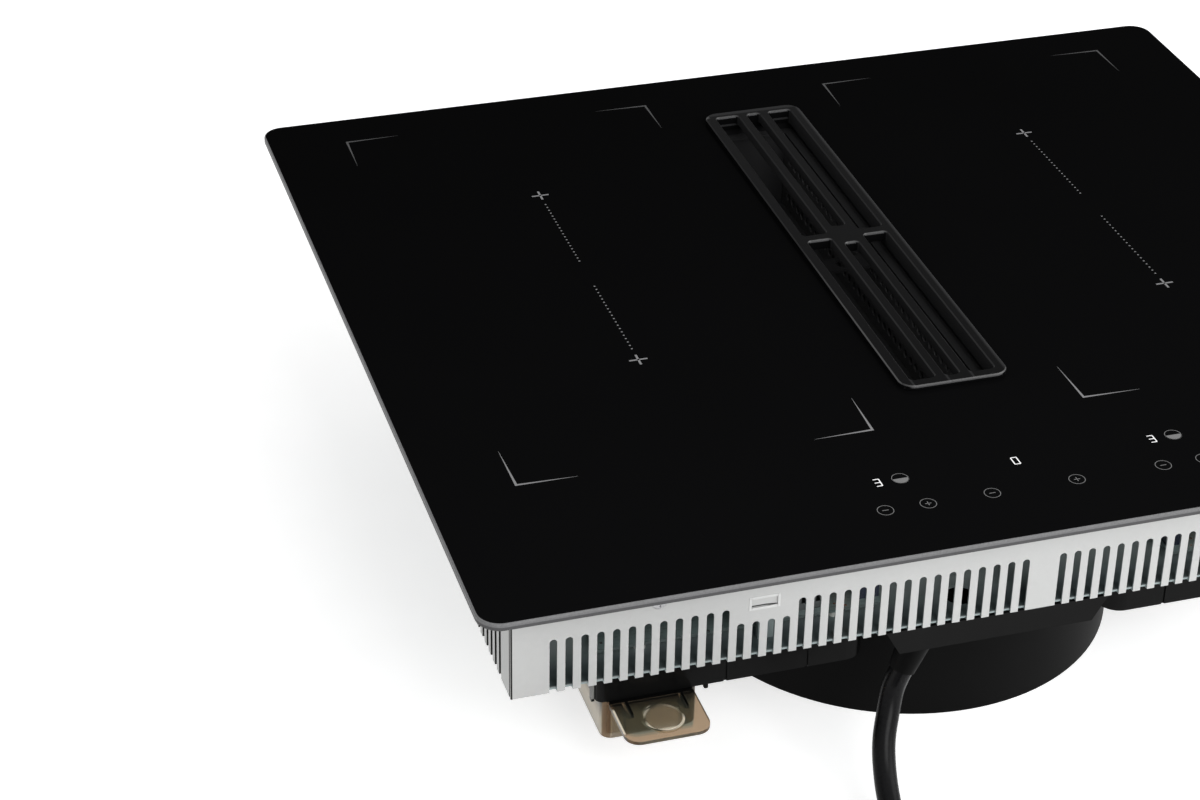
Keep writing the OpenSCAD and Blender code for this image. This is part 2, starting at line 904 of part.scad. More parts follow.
// Rotor with a cup hub and curved blades, bored for the frame's pin
module fan_rotor(turn) {
  z = case_z + 2 * sheet_t + 2 + seat_gap;
  h = fan_h - 2;
  difference() {
    translate([0, 0, z]) {
      cylinder(r = 10, h = h);
      for (a = [0 : 360 / 7 : 359])
        rotate([0, 0, a])
          translate([0, turn * 16, 0.5])
            linear_extrude(height = h - 1)
              intersection() {
                difference() {
                  circle(r = 17);
                  circle(r = 15.8);
                }
                translate([0, turn * -17])
                  square([34, 33], center = true);
                translate([17, 0])
                  square([34, 60], center = true);
              }
    }
    translate([0, 0, z - cut])
      cylinder(r = fan_pin_r + shaft_gap, h = fan_h - 4 + cut + 1);
  }
}

module left_fan_rotor() {
  color("dimgray")
    translate([-fan_x, fan_y, 0])
      fan_rotor(1);
}

module right_fan_rotor() {
  color("dimgray")
    translate([fan_x, fan_y, 0])
      fan_rotor(-1);
}

module touch_board() {
  color("darkgreen")
    translate([-touch_w / 2, touch_y - touch_d / 2, touch_z])
      cube([touch_w, touch_d, touch_t]);
}

// Sheet bracket that carries the touch board over the power boards
module board_bracket() {
  leg = 3;
  color("silver") {
    translate([-touch_w / 2, touch_y - touch_d / 2 + 2, touch_z - 1.5])
      cube([touch_w, touch_d - 10, 1.5]);
    for (x = [-1, 1])
      translate([x * (touch_w / 2 - 10) - 4, touch_y - touch_d / 2 + 2, case_z + 2 * sheet_t])
        cube([8, leg, touch_z - case_z - 2 * sheet_t - 1.4]);
  }
}

// Light boxes and spring pads between the board and the glass
module key_displays() {
  pad_h = glass_z - touch_z - touch_t;
  color("black")
    translate([0, touch_y, touch_z + touch_t]) {
      for (x = [-1, 0, 1])
        translate([x * display_x - display_w / 2, 4, 0])
          cube([display_w, display_d, pad_h]);
      for (s = [-1, 1], x = key_x)
        translate([s * x, -key_ahead, 0])
          cylinder(r = key_r, h = pad_h);
    }
}

// Cover over the mains terminals, under the front edge of the case
module terminal_cover() {
  lid = 2;
  color([0.2, 0.2, 0.21])
    difference() {
      translate([0, cover_y + cover_d, case_z])
        rotate([90, 0, 0])
          linear_extrude(height = cover_d)
            polygon([
              [cover_left - cover_slope, 0], [cover_right + cover_slope, 0],
              [cover_right, -cover_h], [cover_left, -cover_h]
            ]);
      translate([gland_base[0] + 18, cover_y + lid, case_z - cover_h + lid])
        cube([cover_right - gland_base[0] - 22, cover_d - 2 * lid, cover_h]);
    }
}

module terminal_block() {
  color("ivory")
    translate([-20, cover_y + 8, case_z - cover_h + 2])
      difference() {
        cube([44, 18, cover_h - 3]);
        for (i = [0 : 4])
          translate([4.5 + i * 8.6, 9, 4])
            cylinder(r = 2.2, h = cover_h);
      }
}

// One front block of the plenum, beside the cable bay, drawn in by t
module front_block(t) {
  inner = bay_half_w + t;
  outer = plenum_w / 2 - t;
  front = -plenum_front + t;
  back = -bay_back + 40;
  r_in = bay_r - t;
  r_out = plenum_corner_r - t;
  translate([inner + r_in, front])
    square([outer - r_out - inner - r_in, back - front]);
  translate([inner, front + r_in])
    square([outer - inner, back - front - r_in]);
  translate([outer - bay_r, front + r_out])
    square([bay_r, back - front - r_out]);
  translate([inner + r_in, front + r_in])
    circle(r = r_in);
  translate([outer - r_out, front + r_out])
    circle(r = r_out);
}

// Plan of the plenum, drawn in by t
module plenum_plan(t) {
  translate([0, plenum_mid_y])
    rounded_rect(plenum_w - 2 * t, plenum_back + bay_back - 2 * t, plenum_r - t);
  both_sides()
    front_block(t);
}

function boss_places() = [
  for (x = [-1, 1], y = [-plenum_front + boss_inset, plenum_mid_y, plenum_back - boss_inset])
    [x * (plenum_w / 2 - boss_inset), y]
];

module plenum_housing() {
  color([0.05, 0.05, 0.05])
    difference() {
      translate([0, 0, plenum_z])
        difference() {
          union() {
            linear_extrude(height = plastic_t)
              plenum_plan(0);
            linear_extrude(height = floor_z - plenum_z)
              difference() {
                plenum_plan(0);
                plenum_plan(plastic_t);
              }
            for (p = boss_places())
              translate([p[0], p[1], 0])
                cylinder(r = boss_r, h = floor_z - plenum_z);
            for (s = [-1, 1])
              translate([tray_x + s * (tray_w / 2 + guide_out) + (s < 0 ? -guide_w : 0),
                plenum_corner_r - plenum_front, -guide_w])
                cube([guide_w, 2 * guide_w, guide_w + (s < 0 ? plenum_h / 6 : plastic_t)]);
          }
          for (p = boss_places())
            translate([p[0], p[1], floor_z - plenum_z - plenum_screw_l - 2])
              cylinder(r = screw_shank_r + 0.1, h = plenum_screw_l + 2 + cut);
        }
      for (p = ear_places())
        translate([p[0], p[1], plenum_z - cut])
          cylinder(r = screw_shank_r + 0.1, h = plastic_t + 2 * cut);
      translate([0, drum_y, plenum_z - cut])
        cylinder(r = inlet_r + ring_lip + 0.5, h = plastic_t + 2 * cut);
      translate([tray_x, tray_front + tray_l * 0.5, plenum_z - cut])
        cylinder(r = drain_r, h = plastic_t + 2 * cut);
      for (s = [-1, 1], x = seam_x)
        translate([s * x - seam_w / 2, -plenum_front - cut, plenum_z - cut])
          cube([seam_w, seam_d + cut, plenum_h + 2 * cut]);
    }
}

module plenum_screws() {
  color("silver")
    for (p = boss_places())
      translate([p[0], p[1], case_z + 2 * sheet_t])
        rotate([-90, 0, 0])
          pan_screw(plenum_screw_l);
}

// Rails that hang inside the tray, with hooks under its two lips
module tray_rails() {
  leg_x = tray_w / 2 - tray_t - tray_lip_w - slide_gap - rail_leg;
  rail_l = tray_l - 2 * tray_r;
  color([0.05, 0.05, 0.05])
    translate([tray_x, tray_front + tray_r, hook_z])
      both_sides() {
        translate([leg_x, 0, 0])
          cube([rail_leg, rail_l, plenum_z - hook_z]);
        translate([leg_x, 0, 0])
          cube([rail_leg + slide_gap + hook_w, rail_l, rail_t]);
      }
}

// Open tray with an inward lip along each side, a back wall low enough to pass under the
// rails, and a pull tab with a ringed finger mark
module drip_tray() {
  body_z = tray_top - tray_h;
  inner_w = tray_w - 2 * tray_t;
  inner_l = tray_l - 2 * tray_t;
  color([0.45, 0.4, 0.35, 0.6])
    translate([tray_x, tray_front + tray_l / 2, 0]) {
      difference() {
        translate([0, 0, body_z])
          rounded_plate(tray_w, tray_l, tray_h, tray_r);
        translate([0, 0, body_z + tray_t])
          rounded_plate(inner_w, inner_l, tray_h - tray_t - tray_lip_t, tray_r - tray_t);
        translate([0, 0, body_z + tray_t])
          rounded_plate(inner_w - 2 * tray_lip_w, inner_l, tray_h, 1);
        translate([-inner_w / 2, tray_l / 2 - tray_r, hook_z - slide_gap])
          cube([inner_w, tray_r + cut, tray_top - tray_lip_t - hook_z + slide_gap]);
        translate([-inner_w / 2 + tray_lip_w, tray_l / 2 - tray_r, hook_z - slide_gap])
          cube([inner_w - 2 * tray_lip_w, tray_r + cut, tray_h]);
      }
      translate([0, -tray_l / 2, 0]) {
        difference() {
          union() {
            translate([0, -(tab_reach - 6) / 2, tray_top - tab_t])
              linear_extrude(height = tab_t)
                difference() {
                  rounded_rect(tab_w, tab_reach + 6, tab_r);
                  translate([-tab_w, tab_reach / 2 - 3 - cut + 1.3])
                    square([2 * tab_w, 20]);
                }
            translate([0, -tab_reach / 2 - 1, tray_top - tab_t])
              cylinder(d = finger_d + 2 * finger_ring, h = tab_t + 0.3);
          }
          translate([0, -tab_reach / 2 - 1, tray_top - 0.8])
            cylinder(d = finger_d, h = 2);
        }
        for (x = [-1, 1])
          translate([x * (tab_w / 2 - 7.5) - 0.7, 0.5, tray_top - tab_t + 0.2])
            rotate([90, 0, 90])
              linear_extrude(height = 1.4)
                polygon([[0, 0], [-14, 0], [0, -8]]);
      }
    }
}

// Plan of the blower, drawn in by t: the drum and the channel to the outlet
module scroll_plan(t) {
  translate([0, drum_y])
    circle(r = drum_r - t, $fn = 96);
  polygon([
    [-drum_r + t, drum_y], [drum_r - t, drum_y], [duct_w / 2 - t, duct_start + 0.01],
    [-duct_w / 2 + t, duct_start + 0.01]
  ]);
}

// Half the width of the channel at y, on its way from the drum to the outlet
function side_x(y) =
  drum_r + (duct_w / 2 - drum_r) * (y - drum_y) / (duct_start - drum_y);
function ear_places() = [
  for (s = [-1, 1], b = ear_back)
    [s * (side_x(drum_y + b) + ear_out), drum_y + b]
];

// Spiral wall round the impeller: from the tongue it turns clockwise, seen from above,
// and widens until it meets the wall of the drum beside the outlet
module volute_wall() {
  steps = 32;
  tongue_r = impeller_r + volute_gap;
  grow = drum_r - plastic_t - volute_t - 1 - tongue_r;
  function spiral(i, out) =
    let (r = tongue_r + grow * i / steps + out, a = volute_tongue - volute_sweep * i / steps)
      [r * cos(a), r * sin(a)];
  polygon(concat(
    [for (i = [0 : steps]) spiral(i, 0)],
    [for (i = [steps : -1 : 0]) spiral(i, volute_t)]
  ));
}

module blower_scroll() {
  color([0.04, 0.04, 0.04])
    difference() {
      union() {
        linear_extrude(height = plastic_t)
          scroll_plan(0);
        linear_extrude(height = blower_h)
          difference() {
            scroll_plan(0);
            scroll_plan(plastic_t);
            translate([-duct_w, duct_start - plastic_t])
              square([2 * duct_w, 10]);
          }
        translate([0, drum_y, 0])
          linear_extrude(height = blower_h - seat_gap)
            volute_wall();
        for (p = ear_places())
          translate([p[0], p[1], blower_h - ear_h])
            cylinder(r = ear_r, h = ear_h);
      }
      for (p = ear_places())
        translate([p[0], p[1], blower_h - ear_h - cut])
          cylinder(r = screw_hole_r, h = ear_h + 2 * cut);
      translate([0, drum_y, -cut])
        for (a = [30, 150, 270])
          rotate([0, 0, a])
            translate([motor_r - 8, 0, 0])
              cylinder(r = screw_hole_r, h = plastic_t + 2 * cut);
      translate([0, duct_start, 0])
        translate([-duct_w, 0, -cut])
          cube([2 * duct_w, blower_h, blower_h + 2 * cut]);
    }
}

module blower_screws() {
  color("silver")
    for (p = ear_places())
      translate([p[0], p[1], blower_h - ear_h])
        rotate([90, 0, 0])
          pan_screw(ear_h + plastic_t);
}

// Closed channel behind the scroll, with a spigot for a flat duct
module outlet_duct() {
  color([0.04, 0.04, 0.04])
    translate([0, duct_start, 0]) {
      sleeve_l = duct_end - duct_start - spigot_l;
      difference() {
        union() {
          translate([-duct_w / 2, 0, 0])
            cube([duct_w, sleeve_l, duct_h]);
          translate([-duct_w / 2 + spigot_inset, 0, spigot_inset])
            cube([duct_w - 2 * spigot_inset, sleeve_l + spigot_l, duct_h - 2 * spigot_inset]);
        }
        translate([-duct_w / 2 + spigot_inset + 2, -cut, spigot_inset + 2])
          cube([duct_w - 2 * spigot_inset - 4, sleeve_l + spigot_l + 2 * cut,
            duct_h - 2 * spigot_inset - 4]);
      }
    }
}

// Bell mouth in the plenum floor, over the eye of the impeller
module inlet_ring() {
  lip_z = plenum_z + plastic_t;
  color([0.15, 0.15, 0.15])
    translate([0, drum_y, 0])
      rotate_extrude($fn = 96)
        polygon(concat(
          [for (a = [0 : 15 : 90])
            [inlet_r + ring_lip - ring_lip * cos(a), lip_z + 2 - ring_lip + ring_lip * sin(a)]],
          [[inlet_r + ring_lip + 4, lip_z + 2], [inlet_r + ring_lip + 4, lip_z]],
          [for (a = [90 : -15 : 0])
            [inlet_r + ring_lip - (ring_lip - 2) * cos(a),
              lip_z + 2 - ring_lip + (ring_lip - 2) * sin(a)]]
        ));
}

module blower_motor() {
  color("dimgray")
    translate([0, drum_y, plastic_t])
      difference() {
        rotate_extrude()
          polygon([[0, 0], [motor_r, 0], [motor_r, motor_h - 2], [motor_r - 2, motor_h],
            [shaft_r + 5, motor_h], [shaft_r + 4, motor_h + 2], [0, motor_h + 2]]);
        translate([0, 0, 4])
          cylinder(r = shaft_r + shaft_gap, h = motor_h);
        for (a = [30, 150, 270])
          rotate([0, 0, a])
            translate([motor_r - 8, 0, -cut])
              cylinder(r = screw_shank_r + 0.1, h = 8 + cut);
      }
}

module motor_screws() {
  color("silver")
    translate([0, drum_y, seat_gap])
      for (a = [30, 150, 270])
        rotate([0, 0, a])
          translate([motor_r - 8, 0, 0])
            cylinder(r = screw_shank_r, h = plastic_t + 6.5);
}

// Shaft between the bush of the motor and the hub of the impeller
module motor_shaft() {
  color("silver")
    translate([0, drum_y, plastic_t + 4 + seat_gap])
      cylinder(r = shaft_r, h = motor_h + 4);
}

// One forward-curved blade, in plan
module blade_plan() {
  translate([impeller_r - blade_l / 2 - 0.5, 0])
    intersection() {
      translate([0, -blade_l * 0.42])
        difference() {
          circle(r = blade_l * 0.62, $fn = 32);
          circle(r = blade_l * 0.62 - blade_t, $fn = 32);
        }
      translate([-blade_l / 2, -2])
        square([blade_l, blade_l]);
    }
}

// Squirrel-cage impeller: cup hub, back plate, blades and a top ring
module impeller() {
  hub_r = motor_r + hub_gap;
  hub_top = plastic_t + motor_h + 2 + 0.8;
  color([0.2, 0.2, 0.2])
    translate([0, drum_y, 0])
      difference() {
        union() {
          translate([0, 0, impeller_z])
            cylinder(r = impeller_r, h = plate_t, $fn = 96);
          translate([0, 0, impeller_z])
            cylinder(r = hub_r + hub_t, h = hub_top + hub_t + 2 - impeller_z);
          translate([0, 0, impeller_z])
            linear_extrude(height = impeller_h)
              for (i = [0 : impeller_blades - 1])
                rotate([0, 0, i * 360 / impeller_blades])
                  blade_plan();
          translate([0, 0, impeller_z + impeller_h - plate_t])
            difference() {
              cylinder(r = impeller_r, h = plate_t, $fn = 96);
              translate([0, 0, -cut])
                cylinder(r = impeller_r - 6, h = plate_t + 2 * cut, $fn = 96);
            }
        }
        translate([0, 0, impeller_z - cut])
          cylinder(r = hub_r, h = hub_top - impeller_z + cut);
        translate([0, 0, hub_top - cut])
          cylinder(r = shaft_r, h = plastic_t + 8 + motor_h + seat_gap - hub_top + cut);
      }
}

// A straight piece of solid or tube between two points
function length_of(v) = sqrt(v * v);
module between(from, to) {
  v = to - from;
  translate(from)
    rotate([0, acos(v[2] / length_of(v)), atan2(v[1], v[0])])
      children();
}

// Strain relief: a nut, a neck and a tapered sleeve
module cable_gland() {
  l = length_of(gland_tip - gland_base);
  color("black")
    difference() {
      between(gland_base, gland_tip) {
        translate([0, 0, -5])
          cylinder(r = gland_r + 1, h = 9, $fn = 6);
        cylinder(r = gland_r - 0.5, h = 8);
        translate([0, 0, 7])
          cylinder(r1 = gland_r - 0.5, r2 = cable_d / 2 + 0.8, h = l - 7);
      }
      translate([gland_base[0] - 20, gland_base[1] - 20, gland_base[2]])
        cube([40, 40, 20]);
    }
}

// Points of the tubes: a smooth curve through the route, then the coil
function unit(v) = v / length_of(v);
function curve_point(p, t) =
  0.5 * (2 * p[1] + t * (p[2] - p[0]) + t * t * (2 * p[0] - 5 * p[1] + 4 * p[2] - p[3])
    + t * t * t * (3 * p[1] - p[0] - 3 * p[2] + p[3]));
function route_at(i) =
  i < 0 ? 2 * route[0] - route[1]
  : i < len(route) ? route[i]
  : route[len(route) - 1] + [0, -cable_d, 0];
function four_from(i) = [route_at(i - 1), route_at(i), route_at(i + 1), route_at(i + 2)];
route_steps = 2;
free_points = concat(
  [for (i = [0 : len(route) - 2], k = [0 : route_steps - 1])
    curve_point(four_from(i), k / route_steps)],
  [route[len(route) - 1]]
);
function climb(t) = let (u = min(max(2 * t + 0.5, 0), 1)) u * u * (3 - 2 * u);
function coil_point(t) =
  let (r = coil_inner_r + coil_pitch * abs(t), a = -360 * (t + coil_half))
    [coil_mid[0] + r * cos(a), coil_mid[1] + r * sin(a), coil_z + coil_layer * climb(t)];
rings_per_turn = 24;
coil_rings = coil_turns * rings_per_turn;
coil_loop = [for (i = [0 : coil_rings]) coil_point(i / rings_per_turn - coil_half)];
coil_end_dir = [0, 1, 0];
coil_points = concat([coil_start], coil_loop, [coil_loop[coil_rings] + cable_d * coil_end_dir]);

// Least gap between turns that are at least half a turn apart
coil_gap = min([
  for (i = [0 : coil_rings], j = [i + rings_per_turn / 2 : 1 : coil_rings])
    length_of(coil_loop[i] - coil_loop[j])
]) - cable_d;
echo(least_gap_between_turns = coil_gap);

function direction(p, i, first, last) =
  i == 0 ? first : i == len(p) - 1 ? last : unit(p[i + 1] - p[i - 1]);

// A tube swept along points, as one closed form
module swept_tube(p, r, sides, side_hint, first, last, turn = 0) {
  n = len(p);
  rings = [
    for (i = [0 : n - 1])
      let (t = direction(p, i, first, last), u = unit(cross(t, side_hint)), v = cross(t, u))
        for (k = [0 : sides - 1])
          p[i] + r * (cos(360 * k / sides + turn) * u + sin(360 * k / sides + turn) * v)
  ];
  walls = [
    for (i = [0 : n - 2], k = [0 : sides - 1], half = [0, 1])
      let (a = i * sides + k, b = i * sides + (k + 1) % sides)
        half == 0 ? [a, a + sides, b] : [b, a + sides, b + sides]
  ];
  caps = [
    for (k = [1 : sides - 2], end = [0, 1])
      end == 0 ? [0, k, k + 1] : (n - 1) * sides * [1, 1, 1] + [0, k + 1, k]
  ];
  polyhedron(points = rings, faces = concat(walls, caps));
}

module cable_free() {
  color([0.05, 0.05, 0.05])
    swept_tube(free_points, cable_d / 2, 8, [1, 0, 0], unit(gland_tip - gland_base),
      [0, -1, 0]);
}

module cable_coil() {
  color([0.05, 0.05, 0.05])
    swept_tube(coil_points, cable_d / 2, 6, [0, 0, 1], [0, -1, 0], coil_end_dir, 30);
}

// Tie round the strands of both layers, opposite the climb
module cable_tie() {
  half = cable_d / 2 + 0.3;
  low_r = coil_inner_r + coil_pitch * 0.5 - half;
  high_r = coil_inner_r + coil_pitch * (floor(coil_half + 0.5) - 0.5) + half;
  low_z = coil_z - half;
  high_z = coil_z + coil_layer + half;
  color("dimgray")
    translate([coil_mid[0], coil_mid[1], 0])
      rotate([0, 0, 180 - 360 * coil_half])
        difference() {
          translate([low_r - tie_t, -tie_w / 2, low_z - tie_t])
            cube([high_r - low_r + 2 * tie_t, tie_w, high_z - low_z + 2 * tie_t]);
          translate([low_r, -tie_w / 2 - cut, low_z])
            cube([high_r - low_r, tie_w + 2 * cut, high_z - low_z]);
        }
}

// Five stripped cores with crimped ferrules
module cable_cores() {
  start = coil_points[len(coil_points) - 1];
  color("peru")
    for (i = [0 : 4])
      translate(start)
        rotate([-90, 0, 0])
          rotate([0, 0, 72 * i])
            translate([core_ring_r, 0, 0]) {
              cylinder(r = core_r, h = core_l);
              translate([0, 0, core_l])
                cylinder(r = ferrule_r, h = ferrule_l);
            }
}

glass_top();
worktop_seal();
intake_grille();
filter_frame();
filter_mesh();
filter_handle();
intake_funnel();
funnel_seal();
case_floor();
front_vent_panel();
rear_vent_panel();
left_side_panel();
right_side_panel();
case_screws();
coil_carriers();
carrier_posts();
induction_coils();
ferrite_bars();
coil_insulation();
coil_sensors();
power_boards();
board_standoffs();
heat_sinks();
filter_capacitors();
choke_coils();
cooling_fan_frames();
left_fan_rotor();
right_fan_rotor();
touch_board();
board_bracket();
key_displays();
terminal_cover();
terminal_block();
plenum_housing();
plenum_screws();
tray_rails();
drip_tray();
blower_scroll();
blower_screws();
outlet_duct();
inlet_ring();
blower_motor();
motor_screws();
impeller();
motor_shaft();
cable_gland();
cable_free();
cable_coil();
cable_tie();
cable_cores();
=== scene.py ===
"""A downdraft induction cooktop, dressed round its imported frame.

Every length is in metres in the frame of the part: the middle of the footprint is the
origin, +Z is up and the user stands at -Y.
"""

import logging
import math
from dataclasses import dataclass, field
from enum import Enum
from functools import partial, reduce
from itertools import product
from typing import Iterable, Sequence

import bpy
from mathutils import Matrix, Vector


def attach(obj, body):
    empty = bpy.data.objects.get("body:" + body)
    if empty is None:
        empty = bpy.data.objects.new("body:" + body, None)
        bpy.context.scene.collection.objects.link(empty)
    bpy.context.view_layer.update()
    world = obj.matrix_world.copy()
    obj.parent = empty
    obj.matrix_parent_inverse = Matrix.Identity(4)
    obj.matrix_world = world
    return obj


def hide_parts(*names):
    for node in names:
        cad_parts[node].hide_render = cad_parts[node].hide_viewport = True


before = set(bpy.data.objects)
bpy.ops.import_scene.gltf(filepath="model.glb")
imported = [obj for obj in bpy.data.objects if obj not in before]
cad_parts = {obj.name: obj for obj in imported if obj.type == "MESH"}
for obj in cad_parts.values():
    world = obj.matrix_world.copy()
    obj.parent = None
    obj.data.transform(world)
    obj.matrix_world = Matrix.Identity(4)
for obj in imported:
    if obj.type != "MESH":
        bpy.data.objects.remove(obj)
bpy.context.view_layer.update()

log = logging.getLogger("cooktop")

Point = tuple[float, float, float]
Flat = tuple[float, float]
Colour = tuple[float, float, float]
Outline = list[Flat]
Socket = bpy.types.NodeSocket

BLACK: Colour = (0.0, 0.0, 0.0)
QUADS = ((0, 1, 3, 2), (4, 6, 7, 5), (0, 4, 5, 1), (2, 3, 7, 6), (0, 2, 6, 4), (1, 5, 7, 3))


class Axis(Enum):
    """The direction in which a metal is brushed or rolled."""

    X = (1.0, 60.0, 60.0)
    Y = (60.0, 1.0, 60.0)
    Z = (60.0, 60.0, 1.0)


class Stroke(Enum):
    """The bars of a seven-bar digit, each from corner to corner of a 1 by 2 cell."""

    TOP = ((0.0, 2.0), (1.0, 2.0))
    UPPER_LEFT = ((0.0, 2.0), (0.0, 1.0))
    UPPER_RIGHT = ((1.0, 2.0), (1.0, 1.0))
    MIDDLE = ((0.0, 1.0), (1.0, 1.0))
    LOWER_LEFT = ((0.0, 1.0), (0.0, 0.0))
    LOWER_RIGHT = ((1.0, 1.0), (1.0, 0.0))
    BOTTOM = ((0.0, 0.0), (1.0, 0.0))


def tint(colour: Colour, share: float) -> Colour:
    """Multiply each part of a colour by a share, up to 1."""
    return tuple(min(1.0, part * share) for part in colour)


class Nodes:
    """The nodes of a material or a sky, with short calls for the kinds that repeat."""

    def __init__(self, tree: bpy.types.NodeTree) -> None:
        """Start with the nodes that the tree has."""
        self.nodes = tree.nodes
        self.links = tree.links

    def node(self, kind: str, **settings: object) -> bpy.types.Node:
        """Add a node.

        Args:
            kind: Blender's name of the node type.
            **settings: Properties of the node.

        Returns:
            The new node.
        """
        made = self.nodes.new(kind)
        for name, value in settings.items():
            setattr(made, name, value)
        return made

    def math(self, operation: str, first: Socket, second: Socket | float | None = None) -> Socket:
        """Work out a value from one or two others.

        Args:
            operation: Blender's name of the operation.
            first: The first value.
            second: The second value, a socket or a number, where the operation takes one.

        Returns:
            The socket with the result.
        """
        made = self.node("ShaderNodeMath", operation=operation)
        self.links.new(first, made.inputs[0])
        if isinstance(second, float):
            made.inputs[1].default_value = second
        elif second is not None:
            self.links.new(second, made.inputs[1])
        return made.outputs["Value"]

    def both(self, *values: Socket) -> Socket:
        """Multiply values, so that the result is 1 only where each of them is 1."""
        return reduce(partial(self.math, "MULTIPLY"), values)

    def either(self, *values: Socket) -> Socket:
        """Give the largest of some values."""
        return reduce(partial(self.math, "MAXIMUM"), values)

    def size(self, value: Socket) -> Socket:
        """Give a value without its sign."""
        return self.math("ABSOLUTE", value)

    def step(self, value: Socket, start: float, stop: float, low: float = 0.0, high: float = 1.0) -> Socket:
        """Go from one result to another over a range, and stay there.

        Args:
            value: The socket with the value.
            start: Where the change starts; it may lie above the stop.
            stop: Where the change ends.
            low: Result before the start.
            high: Result after the stop.

        Returns:
            The socket with the result.
        """
        made = self.node("ShaderNodeMapRange")
        ends = {"From Min": start, "From Max": stop, "To Min": low, "To Max": high}
        for name, end in ends.items():
            made.inputs[name].default_value = end
        self.links.new(value, made.inputs["Value"])
        return made.outputs["Result"]

    def spread(self, value: Socket, low: float, high: float) -> Socket:
        """Map a value from 0..1 to the range from low to high."""
        return self.step(value, 0.0, 1.0, low, high)

    def above(self, value: Socket, edge: float, soft: float) -> Socket:
        """Give 1 above an edge and 0 below it; soft is half the width of the change."""
        return self.step(value, edge - soft, edge + soft)

    def below(self, value: Socket, edge: float, soft: float) -> Socket:
        """Give 1 below an edge and 0 above it; soft is half the width of the change."""
        return self.step(value, edge + soft, edge - soft)

    def between(self, value: Socket, low: float, high: float, soft: float) -> Socket:
        """Give 1 from low to high and 0 outside; soft is the width of each change."""
        return self.both(self.above(value, low, soft / 2), self.below(value, high, soft / 2))


